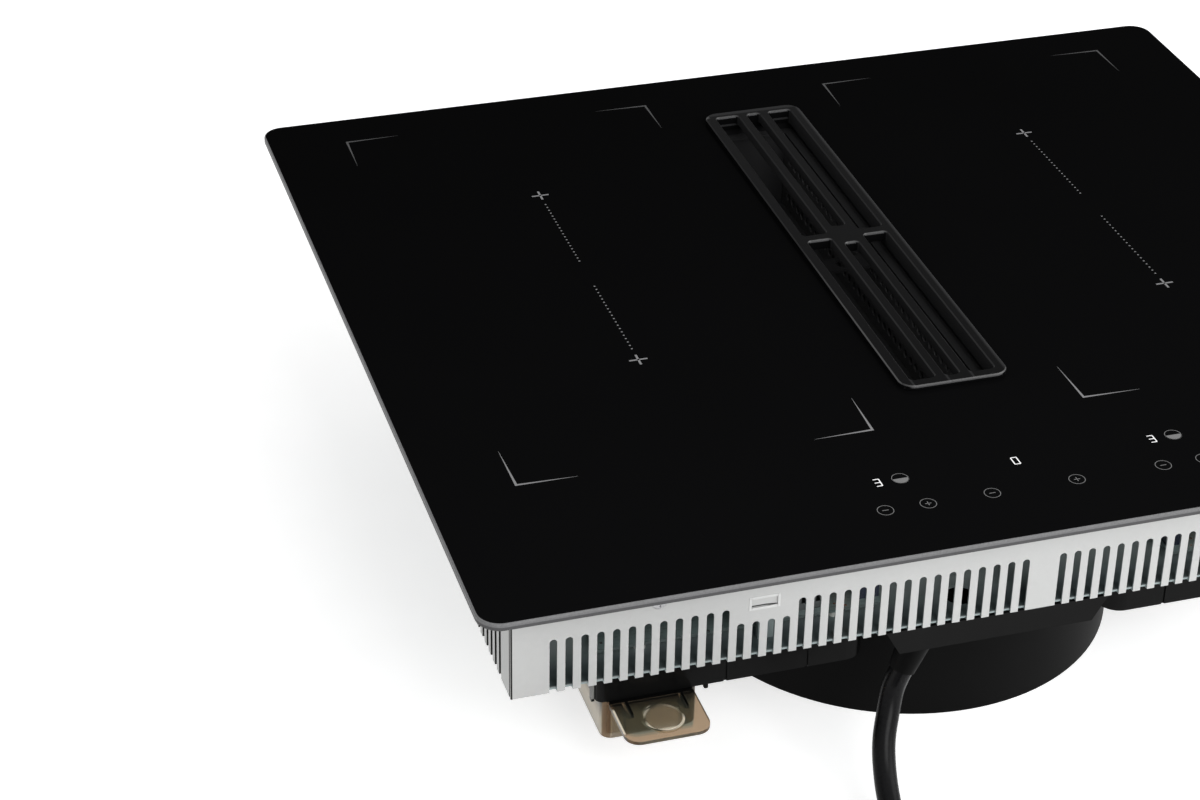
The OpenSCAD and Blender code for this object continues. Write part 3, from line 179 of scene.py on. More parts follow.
class Board(Nodes):
    """The node board of one material."""

    def __init__(self, name: str) -> None:
        """Start a material with a Principled shader.

        Args:
            name: Name of the material.
        """
        self.material = bpy.data.materials.new(name)
        self.material.use_nodes = True
        super().__init__(self.material.node_tree)
        self.shader = self.nodes["Principled BSDF"]
        self.place = self.node("ShaderNodeTexCoord").outputs["Object"]

    def constants(self, **values: float | Colour) -> None:
        """Set sockets of the shader.

        Args:
            **values: Socket names with underscores for spaces, and their values.
        """
        for name, value in values.items():
            socket = self.shader.inputs[name.replace("_", " ")]
            socket.default_value = (*value, 1.0) if isinstance(value, tuple) else value

    def noise(
        self,
        scale: float,
        detail: float = 3.0,
        rough: float = 0.55,
        stretch: Point = (1.0, 1.0, 1.0),
    ) -> Socket:
        """Add a noise texture on the object's coordinates.

        Args:
            scale: Cells per metre.
            detail: Number of finer layers.
            rough: Weight of the finer layers.
            stretch: Factor for X, Y and Z before the noise.

        Returns:
            The socket with the noise, from 0 to 1.
        """
        mapping = self.node("ShaderNodeMapping")
        mapping.inputs["Scale"].default_value = stretch
        self.links.new(self.place, mapping.inputs["Vector"])
        made = self.node("ShaderNodeTexNoise")
        for name, value in (("Scale", scale), ("Detail", detail), ("Roughness", rough)):
            made.inputs[name].default_value = value
        self.links.new(mapping.outputs["Vector"], made.inputs["Vector"])
        return made.outputs["Fac"]

    def cells(self, scale: float) -> bpy.types.Node:
        """Add a Voronoi texture on the object's coordinates.

        Args:
            scale: Cells per metre.

        Returns:
            The texture node.
        """
        made = self.node("ShaderNodeTexVoronoi")
        made.inputs["Scale"].default_value = scale
        self.links.new(self.place, made.inputs["Vector"])
        return made

    def ramp(self, value: Socket, stops: Sequence[tuple[float, Colour]]) -> Socket:
        """Turn a value into a colour.

        Args:
            value: The socket with the value.
            stops: Two places from 0 to 1, each with its colour.

        Returns:
            The socket with the colour.
        """
        made = self.node("ShaderNodeValToRGB")
        for element, (place, colour) in zip(made.color_ramp.elements, stops):
            element.position = place
            element.color = (*colour, 1.0)
        self.links.new(value, made.inputs["Fac"])
        return made.outputs["Color"]

    def shades(self, value: Socket, colour: Colour, dark: Flat, light: Flat) -> Socket:
        """Turn a value into shades of a colour; dark and light are a value and its factor."""
        return self.ramp(value, [(place, tint(colour, share)) for place, share in (dark, light)])

    def mix(self, share: Socket, first: Socket | Colour, second: Socket | Colour) -> Socket:
        """Mix two colours.

        Args:
            share: The socket with the share of the second colour.
            first: The first colour, a socket or a colour.
            second: The second colour, a socket or a colour.

        Returns:
            The socket with the mixed colour.
        """
        made = self.node("ShaderNodeMix", data_type="RGBA")
        self.links.new(share, made.inputs["Factor"])
        for name, value in (("A", first), ("B", second)):
            socket = next(s for s in made.inputs if s.name == name and s.type == "RGBA")
            if isinstance(value, tuple):
                socket.default_value = (*value, 1.0)
            else:
                self.links.new(value, socket)
        return next(s for s in made.outputs if s.type == "RGBA")

    def part(self, socket: Socket, axis: str) -> Socket:
        """Give one coordinate of a place or a direction.

        Args:
            socket: The socket with the place or the direction.
            axis: X, Y or Z.

        Returns:
            The socket with the coordinate.
        """
        made = self.node("ShaderNodeSeparateXYZ")
        self.links.new(socket, made.inputs["Vector"])
        return made.outputs[axis]

    def at(self, axis: str) -> Socket:
        """Give one coordinate of the place on the object."""
        return self.part(self.place, axis)

    def facing(self, axis: str) -> Socket:
        """Give one coordinate of the surface's own direction."""
        return self.part(self.node("ShaderNodeNewGeometry").outputs["Normal"], axis)

    def patch(self, middle: Flat, half: Flat, radius: float, soft: float) -> Socket:
        """Give 1 inside an upright block with rounded corners and 0 outside it.

        Args:
            middle: Its centre, in X and Y.
            half: Half its width and depth.
            radius: Radius of its corners.
            soft: Width of its soft edge.

        Returns:
            The socket with the result.
        """
        steps = (
            ("MULTIPLY", (1.0, 1.0, 0.0)),
            ("SUBTRACT", (*middle, 0.0)),
            ("ABSOLUTE", None),
            ("SUBTRACT", (half[0] - radius, half[1] - radius, 0.0)),
            ("MAXIMUM", (0.0, 0.0, 0.0)),
            ("LENGTH", None),
        )
        value = self.place
        for operation, constant in steps:
            made = self.node("ShaderNodeVectorMath", operation=operation)
            self.links.new(value, made.inputs[0])
            if constant is not None:
                made.inputs[1].default_value = constant
            value = made.outputs["Value" if operation == "LENGTH" else "Vector"]
        return self.below(value, radius, soft / 2)

    def into(self, socket: str, value: Socket) -> None:
        """Link a value to a socket of the shader."""
        self.links.new(value, self.shader.inputs[socket])

    def bump(self, height: Socket, depth: float, strength: float) -> None:
        """Give the surface a relief.

        Args:
            height: The socket with the height, from 0 to 1.
            depth: Height of the relief in metres.
            strength: Strength of the relief, from 0 to 1.
        """
        made = self.node("ShaderNodeBump")
        made.inputs["Distance"].default_value = depth
        made.inputs["Strength"].default_value = strength
        self.links.new(height, made.inputs["Height"])
        self.into("Normal", made.outputs["Normal"])


@dataclass(frozen=True)
class Finish:
    """A finish with a name; each kind says how it is laid on its material."""

    name: str

    def lay(self, board: Board) -> None:
        """Lay the finish on the board of its material."""
        raise NotImplementedError

    def make(self) -> bpy.types.Material:
        """Make the material of this finish.

        Returns:
            The material.
        """
        board = Board(self.name)
        self.lay(board)
        return board.material


@dataclass(frozen=True)
class CeramicGlass(Finish):
    """Black ceramic glass with a polished top and a ground pencil edge."""

    top: Colour = (0.0016, 0.0016, 0.0017)
    # The top is painted lighter towards the user by this share: a painted reflection.
    near_reflection_share: float = 2.6
    depth: float = 0.26
    edge: Colour = (0.185, 0.185, 0.189)
    # Below this height the ground edge is painted darker: painted shade.
    foot: float = 0.1681
    foot_shadow_colour: Colour = (0.05, 0.05, 0.052)
    foot_shadow_share: float = 0.74

    def lay(self, board: Board) -> None:
        """Lay the polished top, with a painted reflection that lightens it towards the user, and the ground
        edge, which is where the surface isn't level, with painted shade on its foot.

        Args:
            board: The board of the material.
        """
        board.constants(IOR=1.45)
        slope = board.step(board.size(board.facing("Z")), 0.985, 0.9)
        grain = board.noise(900.0, 4.0, 0.6)
        cloud = board.spread(board.noise(9.0, 2.0, 0.4), 0.0, 0.2)
        # Painted reflection: the top gets lighter towards the user.
        near = board.step(board.at("Y"), self.depth, -self.depth, 0.0, 0.8)
        top = board.shades(board.math("ADD", cloud, near), self.top, (0.0, 1.0), (1.0, self.near_reflection_share))
        edge = board.shades(grain, self.edge, (0.3, 0.85), (0.72, 1.12))
        # Painted shade: the foot of the ground edge is darkened.
        foot = board.spread(board.below(board.at("Z"), self.foot, 0.0002), 0.0, self.foot_shadow_share)
        board.into("Base Color", board.mix(slope, top, board.mix(foot, edge, self.foot_shadow_colour)))
        board.into("Specular IOR Level", board.spread(slope, 0.001, 0.12))
        board.into("Roughness", board.spread(slope, 0.05, 0.42))
        board.bump(grain, 0.00004, 0.25)


@dataclass(frozen=True)
class Moulded(Finish):
    """Moulded plastic or rubber with a grain and a faint change of shade."""

    colour: Colour
    roughness: float = 0.5
    grain: float = 1400.0
    relief: float = 0.00003
    shine: float = 0.5
    coat: float = 0.0

    def shade(self, board: Board) -> Socket:
        """Lay the clouded colour."""
        return board.shades(board.noise(22.0), self.colour, (0.25, 0.82), (0.75, 1.18))

    def lay(self, board: Board) -> None:
        """Lay the colour and the grain.

        Args:
            board: The board of the material.
        """
        board.constants(Specular_IOR_Level=self.shine, Coat_Weight=self.coat, Coat_Roughness=0.12)
        fine = board.noise(self.grain)
        board.into("Base Color", self.shade(board))
        board.into("Roughness", board.spread(fine, self.roughness - 0.07, self.roughness + 0.07))
        board.bump(fine, self.relief, 0.35)


@dataclass(frozen=True)
class PlenumPlastic(Moulded):
    """Black plastic of the plenum, with painted light on the guide of the tray at its left foot."""

    # The guide is painted paler, and paler still on faces toward the user: painted light.
    guide: Colour = (0.13, 0.13, 0.125)
    guide_x: float = -0.2122
    guide_top: Flat = (0.0665, 0.0655)
    guide_foot: Flat = (0.0548, 0.0552)
    lit_front_share: float = 2.0
    dim: float = 0.1

    def shade(self, board: Board) -> Socket:
        """Lay the colour, painted paler on the guide as painted light, and dim the shine of the right side
        as painted shade.

        Args:
            board: The board of the material.

        Returns:
            The socket with the colour.
        """
        # Painted shade: faces that look right get less shine.
        turned = board.step(board.facing("X"), 0.1, 0.6, self.shine, self.shine * self.dim)
        board.into("Specular IOR Level", turned)
        height = board.at("Z")
        guide = board.both(
            board.below(board.at("X"), self.guide_x, 0.0001),
            board.step(height, *self.guide_top),
            board.step(height, *self.guide_foot),
        )
        # Painted light: the guide is paler, most of all where it faces the user.
        front = board.step(board.facing("Y"), -0.6, -0.9)
        pale = board.mix(front, self.guide, tint(self.guide, self.lit_front_share))
        return board.mix(guide, super().shade(board), pale)


@dataclass(frozen=True)
class PowderCoat(Finish):
    """Satin powder paint: a soft orange peel, with chamfers of their own shine and, where their share is
    above 1, a painted highlight.
    """

    colour: Colour
    roughness: float = 0.38
    shine: float = 0.45
    rim_shine: float = 0.45
    cap_shine: float = 0.45
    # Share of the colour on the chamfers; above 1 it paints a highlight.
    rim_highlight_share: float = 1.0
    reach: Flat = (0.17, -0.15)

    def rim(self, board: Board) -> Socket:
        """Find the chamfers, which are neither level nor upright."""
        return board.between(board.facing("Z"), 0.35, 0.94, 0.1)

    def near(self, board: Board, start: float, stop: float, low: float, high: float) -> Socket:
        """Go from low to high between two shares of the way to the user."""
        return board.step(board.step(board.at("Y"), *self.reach), start, stop, low, high)

    def paint(self, board: Board) -> Socket:
        """Lay the speckled colour, with the chamfers lightened by a share: a painted highlight where it is
        above 1.

        Args:
            board: The board of the material.

        Returns:
            The socket with the colour.
        """
        speck = board.noise(3800.0, 2.0, 0.5)
        plain = board.shades(speck, self.colour, (0.3, 0.75), (0.7, 1.3))
        return board.mix(self.rim(board), plain, tint(self.colour, self.rim_highlight_share))

    def gloss(self, board: Board) -> Socket:
        """Give the shine: the chamfers shine most where they face the user.

        Args:
            board: The board of the material.

        Returns:
            The socket with the level.
        """
        rim = self.rim(board)
        fade = board.both(rim, self.near(board, 0.1, 1.0, 0.3, 1.0))
        cap = board.both(rim, board.step(board.facing("Y"), -0.2, -0.6))
        extra = board.spread(cap, 0.0, self.cap_shine - self.rim_shine)
        return board.math("ADD", board.spread(fade, self.shine, self.rim_shine), extra)

    def lay(self, board: Board) -> None:
        """Lay the paint over its orange peel.

        Args:
            board: The board of the material.
        """
        peel = board.noise(650.0, 2.0, 0.4)
        board.into("Base Color", self.paint(board))
        board.into("Specular IOR Level", self.gloss(board))
        board.into("Roughness", board.spread(peel, self.roughness - 0.06, self.roughness + 0.08))
        board.bump(peel, 0.00005, 0.3)


@dataclass(frozen=True)
class GrillePaint(PowderCoat):
    """Paint of the grille, with painted highlights along its edges and painted light on the walls of its
    slots.
    """

    # Colour of the painted highlight on the edges.
    edge_highlight: Colour = (0.036, 0.036, 0.037)
    # Colour of the painted light on the walls of the slots.
    wall: Colour = (0.03, 0.03, 0.031)
    # Colour of the brighter painted highlight on the lips and the back left corner.
    bright: Colour = (0.1, 0.1, 0.102)
    outer: float = 0.0296
    roll_start: Flat = (-0.0022, -0.0004)
    roll_end: Flat = (0.0004, -0.0002)
    back: Flat = (0.1985, 0.2)
    bars: tuple[float, ...] = (-0.0229, -0.0032, 0.0103)
    bar_edge: Flat = (-0.0014, -0.0002)
    inner: Flat = (-0.0012, -0.0014)
    band: Flat = (0.1665, 0.1678)
    band_start: Flat = (0.185, 0.19)
    band_side: Flat = (0.006, 0.009)
    lip: Flat = (0.1715, 0.1718)
    lip_start: Flat = (-0.17, -0.165)
    spot_x: Flat = (-0.0268, -0.0285)
    spot_y: Flat = (0.1962, 0.1982)
    lit_side: Flat = (0.0007, 0.0005)

    def from_outer(self, offsets: Flat, way: int = 1) -> list[float]:
        """Give the places that lie this far from an outer side; way is 1 for the right."""
        return [way * self.outer + offset for offset in offsets]

    def edges(self, board: Board) -> Socket:
        """Find the edges that get a painted highlight: right chamfers, rolled rim, back and left edges of
        bars.

        Args:
            board: The board of the material.

        Returns:
            The socket with 1 on the edges.
        """
        across = board.at("X")
        level = board.step(board.facing("Z"), 0.3, 0.6)
        right = board.both(
            board.step(board.facing("X"), 0.3, 0.6),
            self.rim(board),
            self.near(board, 0.45, 0.8, 0.0, 0.6),
        )
        roll = board.both(
            board.step(across, *self.from_outer(self.roll_start)),
            board.step(across, *self.from_outer(self.roll_end)),
        )
        back = board.step(board.at("Y"), *self.back, 0.0, 0.5)
        lines = [board.between(across, *(bar + edge for edge in self.bar_edge), 0.0004) for bar in self.bars]
        strips = board.both(board.either(*lines), level, self.near(board, 0.42, 0.75, 0.0, 0.55))
        return board.either(right, board.both(board.either(roll, back), level), strips)

    def walls(self, board: Board) -> Socket:
        """Find the walls of the slots that get painted light: the long ones, and a band on the back ends.

        Args:
            board: The board of the material.

        Returns:
            The socket with 1 on the walls.
        """
        across = board.size(board.at("X"))
        long = board.both(
            board.step(across, *self.from_outer(self.inner)),
            board.step(board.size(board.facing("X")), 0.7, 0.9, 0.0, 0.8),
        )
        band = board.both(
            board.between(board.at("Z"), *self.band, 0.0003),
            board.step(board.at("Y"), *self.band_start),
            board.step(board.facing("Y"), -0.6, -0.9),
            board.step(across, *self.band_side),
        )
        return board.either(long, band)

    def lips(self, board: Board) -> Socket:
        """Find the lips of the back ends and a spot in the back left corner, which get a painted highlight.

        Args:
            board: The board of the material.

        Returns:
            The socket with 1 on the lips.
        """
        lip = board.both(
            board.step(board.at("Z"), *self.lip),
            board.step(board.facing("Y"), -0.85, -0.95),
            board.step(board.at("Y"), *self.lip_start),
        )
        spot = board.both(
            board.step(board.at("X"), *self.spot_x),
            board.step(board.at("Y"), *self.spot_y),
            board.step(board.facing("Z"), 0.2, 0.35),
        )
        return board.either(lip, spot)

    def paint(self, board: Board) -> Socket:
        """Lay the colour, with its painted light and painted highlights.

        Args:
            board: The board of the material.

        Returns:
            The socket with the colour.
        """
        # Painted light on the slot walls, painted highlights on the edges and on the lips.
        colour = board.mix(self.walls(board), super().paint(board), self.wall)
        colour = board.mix(self.edges(board), colour, self.edge_highlight)
        return board.mix(self.lips(board), colour, self.bright)

    def gloss(self, board: Board) -> Socket:
        """Give the shine, with a line of light on the left side near the user.

        Args:
            board: The board of the material.

        Returns:
            The socket with the level.
        """
        side = board.step(board.at("X"), *self.from_outer(self.lit_side, -1))
        line = board.both(side, self.near(board, 0.45, 0.75, 0.0, 0.5), self.rim(board))
        return board.math("ADD", super().gloss(board), line)


@dataclass(frozen=True)
class Metal(Finish):
    """Bare or plated metal, rolled or brushed along one axis."""

    colour: Colour
    roughness: float = 0.3
    brushed: Axis = Axis.X
    streaks: float = 0.06

    def lay(self, board: Board) -> None:
        """Lay the brushed lines over a faint stain.

        Args:
            board: The board of the material.
        """
        board.constants(Metallic=1.0)
        lines = board.noise(26.0, 4.0, 0.65, self.brushed.value)
        stained = board.both(lines, board.noise(12.0, 3.0, 0.5))
        dark, light = (0.12, 1.0 - self.streaks), (0.42, 1.0 + self.streaks)
        board.into("Base Color", board.shades(stained, self.colour, dark, light))
        board.into("Roughness", board.spread(lines, self.roughness - 0.05, self.roughness + 0.08))
        board.bump(lines, 0.00002, 0.25)


@dataclass(frozen=True)
class ZincSheet(Finish):
    """Zinc-coated sheet steel: fine spangles, a faint cloudy shade and rolling lines, with painted shade
    inside the case and on its sides.
    """

    colour: Colour = (0.55, 0.555, 0.55)
    dull: Colour = (0.505, 0.51, 0.505)
    # The inside is a darker, greener copy of the zinc: painted shade.
    inside: Colour = (0.32, 0.38, 0.38)
    roughness: float = 0.45
    # Side walls are darkened towards black by this share: painted shade.
    side_shadow: float = 0.13
    half: Flat = (0.2705, 0.2402)
    sheet: float = 0.0008
    clip: Flat = (0.1384, 0.1465)
    clip_depth: Flat = (0.2374, 0.2375)
    floor_top: Flat = (0.114, 0.1135)
    # Bands of painted light and shade along the floor inside the case: lighter far in, darker near the
    # front.
    floor_light_and_shade: tuple[tuple[Flat, Colour], ...] = (
        ((0.217, 0.204), (0.8, 0.9, 0.88)),
        ((0.218, 0.227), (0.16, 0.195, 0.2)),
        ((0.2245, 0.233), (0.12, 0.15, 0.153)),
    )
    # A painted glint on the floor's cut edge at the bottoms of the slots, bright at the left end and dimmer
    # to the right.
    cut_edge_glint: Colour = (0.62, 0.65, 0.65)
    dull_edge_glint: Colour = (0.36, 0.4, 0.4)
    cut_depth: Flat = (0.2377, 0.2385)
    dull_start: Flat = (-0.206, -0.2)
    seam: float = 0.2701
    seam_colour: Colour = (0.012, 0.012, 0.012)
    gap: Flat = (0.1399, 0.1406)
    gap_side: Flat = (0.137, 0.154)
    gap_depth: Flat = (0.2388, 0.2396)
    gap_fall: Flat = (0.1445, 0.139)
    gap_drop: float = 0.0006
    gap_colour: Colour = (0.01, 0.01, 0.01)

    def inward(self, board: Board) -> Socket:
        """Find the faces that look into the case, apart from the clips in the walls.

        Args:
            board: The board of the material.

        Returns:
            The socket with 1 on those faces.
        """
        within = [
            board.below(board.size(board.at(axis)), half - 0.6 * self.sheet, 0.1 * self.sheet)
            for axis, half in zip("XY", self.half)
        ]
        clip = board.both(
            board.between(board.at("Z"), *self.clip, 0.0001),
            board.step(board.size(board.at("Y")), *self.clip_depth),
        )
        return board.both(*within, board.spread(clip, 1.0, 0.0))

    def hidden(self, board: Board) -> Socket:
        """Lay the painted shade of the inside, with bands of painted light and shade along the floor and a
        painted glint on its cut edge.

        Args:
            board: The board of the material.

        Returns:
            The socket with the colour.
        """
        deep = board.size(board.at("Y"))
        low = board.step(board.at("Z"), *self.floor_top)
        floor = board.both(board.step(board.facing("Z"), 0.5, 0.8), low)
        edge = board.mix(board.step(board.at("X"), *self.dull_start), self.cut_edge_glint, self.dull_edge_glint)
        colour = self.inside
        for reach, shade in (*self.floor_light_and_shade, (self.cut_depth, edge)):
            colour = board.mix(board.both(floor, board.step(deep, *reach)), colour, shade)
        return colour

    def clip_gap(self, board: Board) -> Socket:
        """Find the gap over the tongue of each clip, which drops towards the middle.

        Args:
            board: The board of the material.

        Returns:
            The socket with 1 in the gap.
        """
        across = board.size(board.at("X"))
        drop = board.step(across, *self.gap_fall, 0.0, self.gap_drop)
        return board.both(
            board.between(board.math("ADD", board.at("Z"), drop), *self.gap, 0.0002),
            board.between(board.size(board.at("Y")), *self.gap_depth, 0.0001),
            board.between(across, *self.gap_side, 0.0002),
        )

    def outside(self, board: Board, flecks: Socket) -> Socket:
        """Lay the spangled shades of the outside, with painted shade on the side walls.

        Args:
            board: The board of the material.
            flecks: The socket with the shade of each spangle.

        Returns:
            The socket with the colour.
        """
        cloud = board.spread(board.noise(11.0, 4.0, 0.6), 0.2, 0.8)
        shade = board.math("ADD", board.math("MULTIPLY", flecks, 0.22), cloud)
        face = board.ramp(shade, [(0.35, self.dull), (0.9, self.colour)])
        # Painted shade: the side walls are darkened.
        darker = board.step(board.size(board.facing("X")), 0.7, 0.95, 0.0, self.side_shadow)
        return board.mix(self.clip_gap(board), board.mix(darker, face, BLACK), self.gap_colour)

    def lay(self, board: Board) -> None:
        """Lay the sheet, with a dark seam where the front meets the side walls.

        Args:
            board: The board of the material.
        """
        board.constants(Metallic=0.35, Specular_IOR_Level=0.35)
        grey = board.node("ShaderNodeRGBToBW")
        board.links.new(board.cells(520.0).outputs["Color"], grey.inputs["Color"])
        flecks = grey.outputs["Val"]
        seam = board.both(
            board.above(board.size(board.at("X")), self.seam, 0.0001),
            board.step(board.facing("Y"), -0.7, -0.9),
        )
        # The faces inside the case take the painted shade of the inside.
        sheet = board.mix(self.inward(board), self.outside(board, flecks), self.hidden(board))
        board.into("Base Color", board.mix(seam, sheet, self.seam_colour))
        board.into("Roughness", board.spread(flecks, self.roughness - 0.04, self.roughness + 0.05))
        board.bump(board.noise(30.0, 3.0, 0.6, Axis.X.value), 0.00002, 0.15)


@dataclass(frozen=True)
class Winding(Finish):
    """Enamelled copper, laid as close turns of stranded wire."""

    colour: Colour = (0.5, 0.19, 0.08)

    def lay(self, board: Board) -> None:
        """Lay the fine twisted strands over the turns.

        Args:
            board: The board of the material.
        """
        board.constants(Metallic=0.85, Coat_Weight=0.5, Coat_Roughness=0.2)
        rings = board.node("ShaderNodeTexWave", wave_type="RINGS", rings_direction="SPHERICAL")
        rings.inputs["Scale"].default_value = 220.0
        rings.inputs["Distortion"].default_value = 2.5
        board.links.new(board.place, rings.inputs["Vector"])
        strands = rings.outputs["Fac"]
        board.into("Base Color", board.shades(strands, self.colour, (0.1, 0.55), (0.8, 1.0)))
        board.into("Roughness", board.spread(strands, 0.42, 0.28))
        board.bump(strands, 0.0002, 0.5)


@dataclass(frozen=True)
class CircuitBoard(Finish):
    """Dark green solder mask over copper tracks, with small bright pads."""

    mask: Colour = (0.19, 0.25, 0.24)
    track: Colour = (0.25, 0.33, 0.32)
    pad: Colour = (0.5, 0.5, 0.48)
    edge: Colour = (0.11, 0.14, 0.135)

    def lay(self, board: Board) -> None:
        """Lay the mask, the tracks and the pads, with a plain cut edge.

        Args:
            board: The board of the material.
        """
        board.constants(Specular_IOR_Level=0.5, Coat_Weight=0.3, Coat_Roughness=0.15)
        bricks = board.node("ShaderNodeTexBrick", offset=0.37, squash=1.6, squash_frequency=3)
        bricks.inputs["Scale"].default_value = 95.0
        bricks.inputs["Mortar Size"].default_value = 0.09
        colours = {"Color1": self.mask, "Color2": tint(self.mask, 1.35), "Mortar": self.track}
        for name, colour in colours.items():
            bricks.inputs[name].default_value = (*colour, 1.0)
        board.links.new(board.place, bricks.inputs["Vector"])
        pads = board.step(board.cells(170.0).outputs["Distance"], 0.16, 0.13)
        printed = board.mix(pads, bricks.outputs["Color"], self.pad)
        upright = board.step(board.size(board.facing("Z")), 0.7, 0.4)
        board.into("Base Color", board.mix(upright, printed, self.edge))
        board.into("Roughness", board.spread(pads, 0.35, 0.25))
        board.into("Metallic", board.spread(pads, 0.0, 0.8))
        board.bump(bricks.outputs["Fac"], 0.00005, 0.4)


@dataclass(frozen=True)
class SmokedPlastic(Finish):
    """Smoked clear plastic: see-through, with soft flow marks, painted light and shade on its faces, painted
    shadows and highlights on the tab, and dark webs.
    """

    # Each way that a face looks gets its own colour: painted light and shade; the sides darken towards the
    # top as a painted shadow of the case.
    colour: Colour = (0.45, 0.33, 0.22)
    side: Colour = (0.88, 0.83, 0.71)
    shadowed_top_side: Colour = (0.2, 0.2, 0.195)
    shaded_right_side: Colour = (0.36, 0.27, 0.18)
    front: Colour = (0.64, 0.63, 0.53)
    corner: Colour = (0.29, 0.205, 0.13)
    # The field of the tab is a painted shadow seen through the plastic, darker at the front and darkest near
    # the wall.
    middle: Colour = (0.29, 0.29, 0.222)
    front_shadow_share: float = 0.78
    shadow: Colour = (0.075, 0.07, 0.06)
    finger: Colour = (0.66, 0.59, 0.465)
    # Colour of the painted highlights round the finger ring and on the left edge.
    gleam: Colour = (1.0, 0.9, 0.74)
    # Colour of the dark webs and of the painted shadow along the rim.
    dark: Colour = (0.004, 0.004, 0.004)
    roughness: float = 0.12
    fade: Flat = (0.042, 0.0545)
    wall: float = -0.1875
    lip: Flat = (0.0505, 0.0513)
    lip_start: Flat = (-0.1845, -0.185)
    panel_middle: Flat = (-0.1812, -0.193)
    panel_half: Flat = (0.0237, 0.0225)
    panel_radius: float = 0.007
    panel_lean: float = 0.379
    panel_side: float = -0.089
    panel_front: Flat = (-0.206, -0.215)
    under: Flat = (-0.1995, -0.19)
    finger_middle: Flat = (-0.1825, -0.2053)
    finger_half: Flat = (0.0089, 0.01)
    finger_line: float = 0.0012
    front_arc: Flat = (0.001, -0.004)
    left_arc: Flat = (-0.003, -0.006)
    back_arc: Flat = (0.002, 0.005)
    left_edge: Flat = (-0.2048, -0.2051)
    edge_reach: Flat = (-0.214, -0.1935)
    webs: Flat = (-0.1972, -0.1682)
    web_half: float = 0.0007
    web_end: Flat = (-0.2004, -0.2002)
    rim_shadow: Flat = (-0.189, -0.1852)

    def upward(self, board: Board) -> Socket:
        """Find the faces that look up."""
        return board.step(board.facing("Z"), 0.3, 0.6)

    def high(self, board: Board) -> Socket:
        """Find the tray's lip and all above it."""
        return board.step(board.at("Z"), *self.lip)

    def tab(self, board: Board) -> Socket:
        """Find the tab in front of the plenum, with the lip that it hangs on.

        Args:
            board: The board of the material.

        Returns:
            The socket with 1 on the tab.
        """
        along = board.at("Y")
        lip = board.both(board.step(along, *self.lip_start), self.high(board))
        return board.either(board.below(along, self.wall, 0.0002), lip)

    def panel(self, board: Board) -> Socket:
        """Find the field of the tab that gets a painted shadow; its right side leans.

        Args:
            board: The board of the material.

        Returns:
            The socket with 1 on the field.
        """
        lean = board.math("MULTIPLY", board.at("Y"), -self.panel_lean)
        return board.both(
            board.patch(self.panel_middle, self.panel_half, self.panel_radius, 0.001),
            self.tab(board),
            board.below(board.math("ADD", board.at("X"), lean), self.panel_side, 0.0006),
        )

    def bright_lines(self, board: Board, finger: Socket) -> Socket:
        """Find the lines that get a painted highlight: round the finger ring and the left edge.

        Args:
            board: The board of the material.
            finger: The socket with 1 inside the finger ring.

        Returns:
            The socket with 1 on the lines.
        """
        across, along = board.at("X"), board.at("Y")
        x, y = self.finger_middle
        wide = tuple(half + self.finger_line for half in self.finger_half)
        around = board.patch(self.finger_middle, wide, wide[0], 0.0003)
        front = board.step(along, *(y + offset for offset in self.front_arc))
        back = board.both(
            board.step(across, *(x + offset for offset in self.left_arc)),
            board.step(along, *(y + offset for offset in self.back_arc), 0.0, 0.6),
        )
        ring = board.both(board.math("SUBTRACT", around, finger), board.either(front, back))
        edge = board.both(
            board.step(across, *self.left_edge),
            self.tab(board),
            board.between(along, *self.edge_reach, 0.002),
        )
        return board.both(board.either(ring, edge), self.upward(board))

    def dark_lines(self, board: Board) -> Socket:
        """Find the two webs under the tab, which are painted dark, and a painted shadow along the tray's
        rim.

        Args:
            board: The board of the material.

        Returns:
            The socket with 1 on the lines.
        """
        across, along = board.at("X"), board.at("Y")
        webs = [board.between(across, web - self.web_half, web + self.web_half, 0.0002) for web in self.webs]
        short = board.both(board.either(*webs), self.tab(board), board.step(along, *self.web_end))
        # Painted shadow along the tray's rim, under the plenum.
        rim_shadow = board.both(self.upward(board), self.high(board), board.between(along, *self.rim_shadow, 0.0003))
        return board.either(short, rim_shadow)

    def shell(self, board: Board) -> Socket:
        """Lay painted light and shade on the clear plastic, by the way that each face looks.

        Args:
            board: The board of the material.

        Returns:
            The socket with the colour.
        """
        sides, fronts = board.size(board.facing("X")), board.facing("Y")
        # Painted shadow: the sides darken towards the top.
        outer = board.mix(board.step(board.at("Z"), *self.fade), self.side, self.shadowed_top_side)
        outer = board.mix(board.step(board.facing("X"), 0.2, 0.5), outer, self.shaded_right_side)
        colour = board.mix(board.step(sides, 0.6, 0.9), self.colour, outer)
        colour = board.mix(board.step(fronts, -0.6, -0.9), colour, self.front)
        turned = board.both(board.between(sides, 0.3, 0.95, 0.1), board.step(fronts, -0.3, -0.5))
        return board.mix(turned, colour, self.corner)

    def lay(self, board: Board) -> None:
        """Lay the clear plastic, with the painted highlights, painted shadows and dark webs of the tab.

        Args:
            board: The board of the material.
        """
        board.constants(IOR=1.16)
        flow = board.noise(34.0, 3.0, 0.5, (1.0, 0.3, 1.0))
        along = board.at("Y")
        finger = board.patch(self.finger_middle, self.finger_half, self.finger_half[0], 0.0004)
        bright, dark = self.bright_lines(board, finger), self.dark_lines(board)
        # The field is a painted shadow, darker at the front and darkest near the wall.
        lower = board.step(along, *self.panel_front)
        field = board.mix(lower, self.middle, tint(self.middle, self.front_shadow_share))
        field = board.mix(board.step(along, *self.under), field, self.shadow)
        colour = board.mix(self.panel(board), self.shell(board), field)
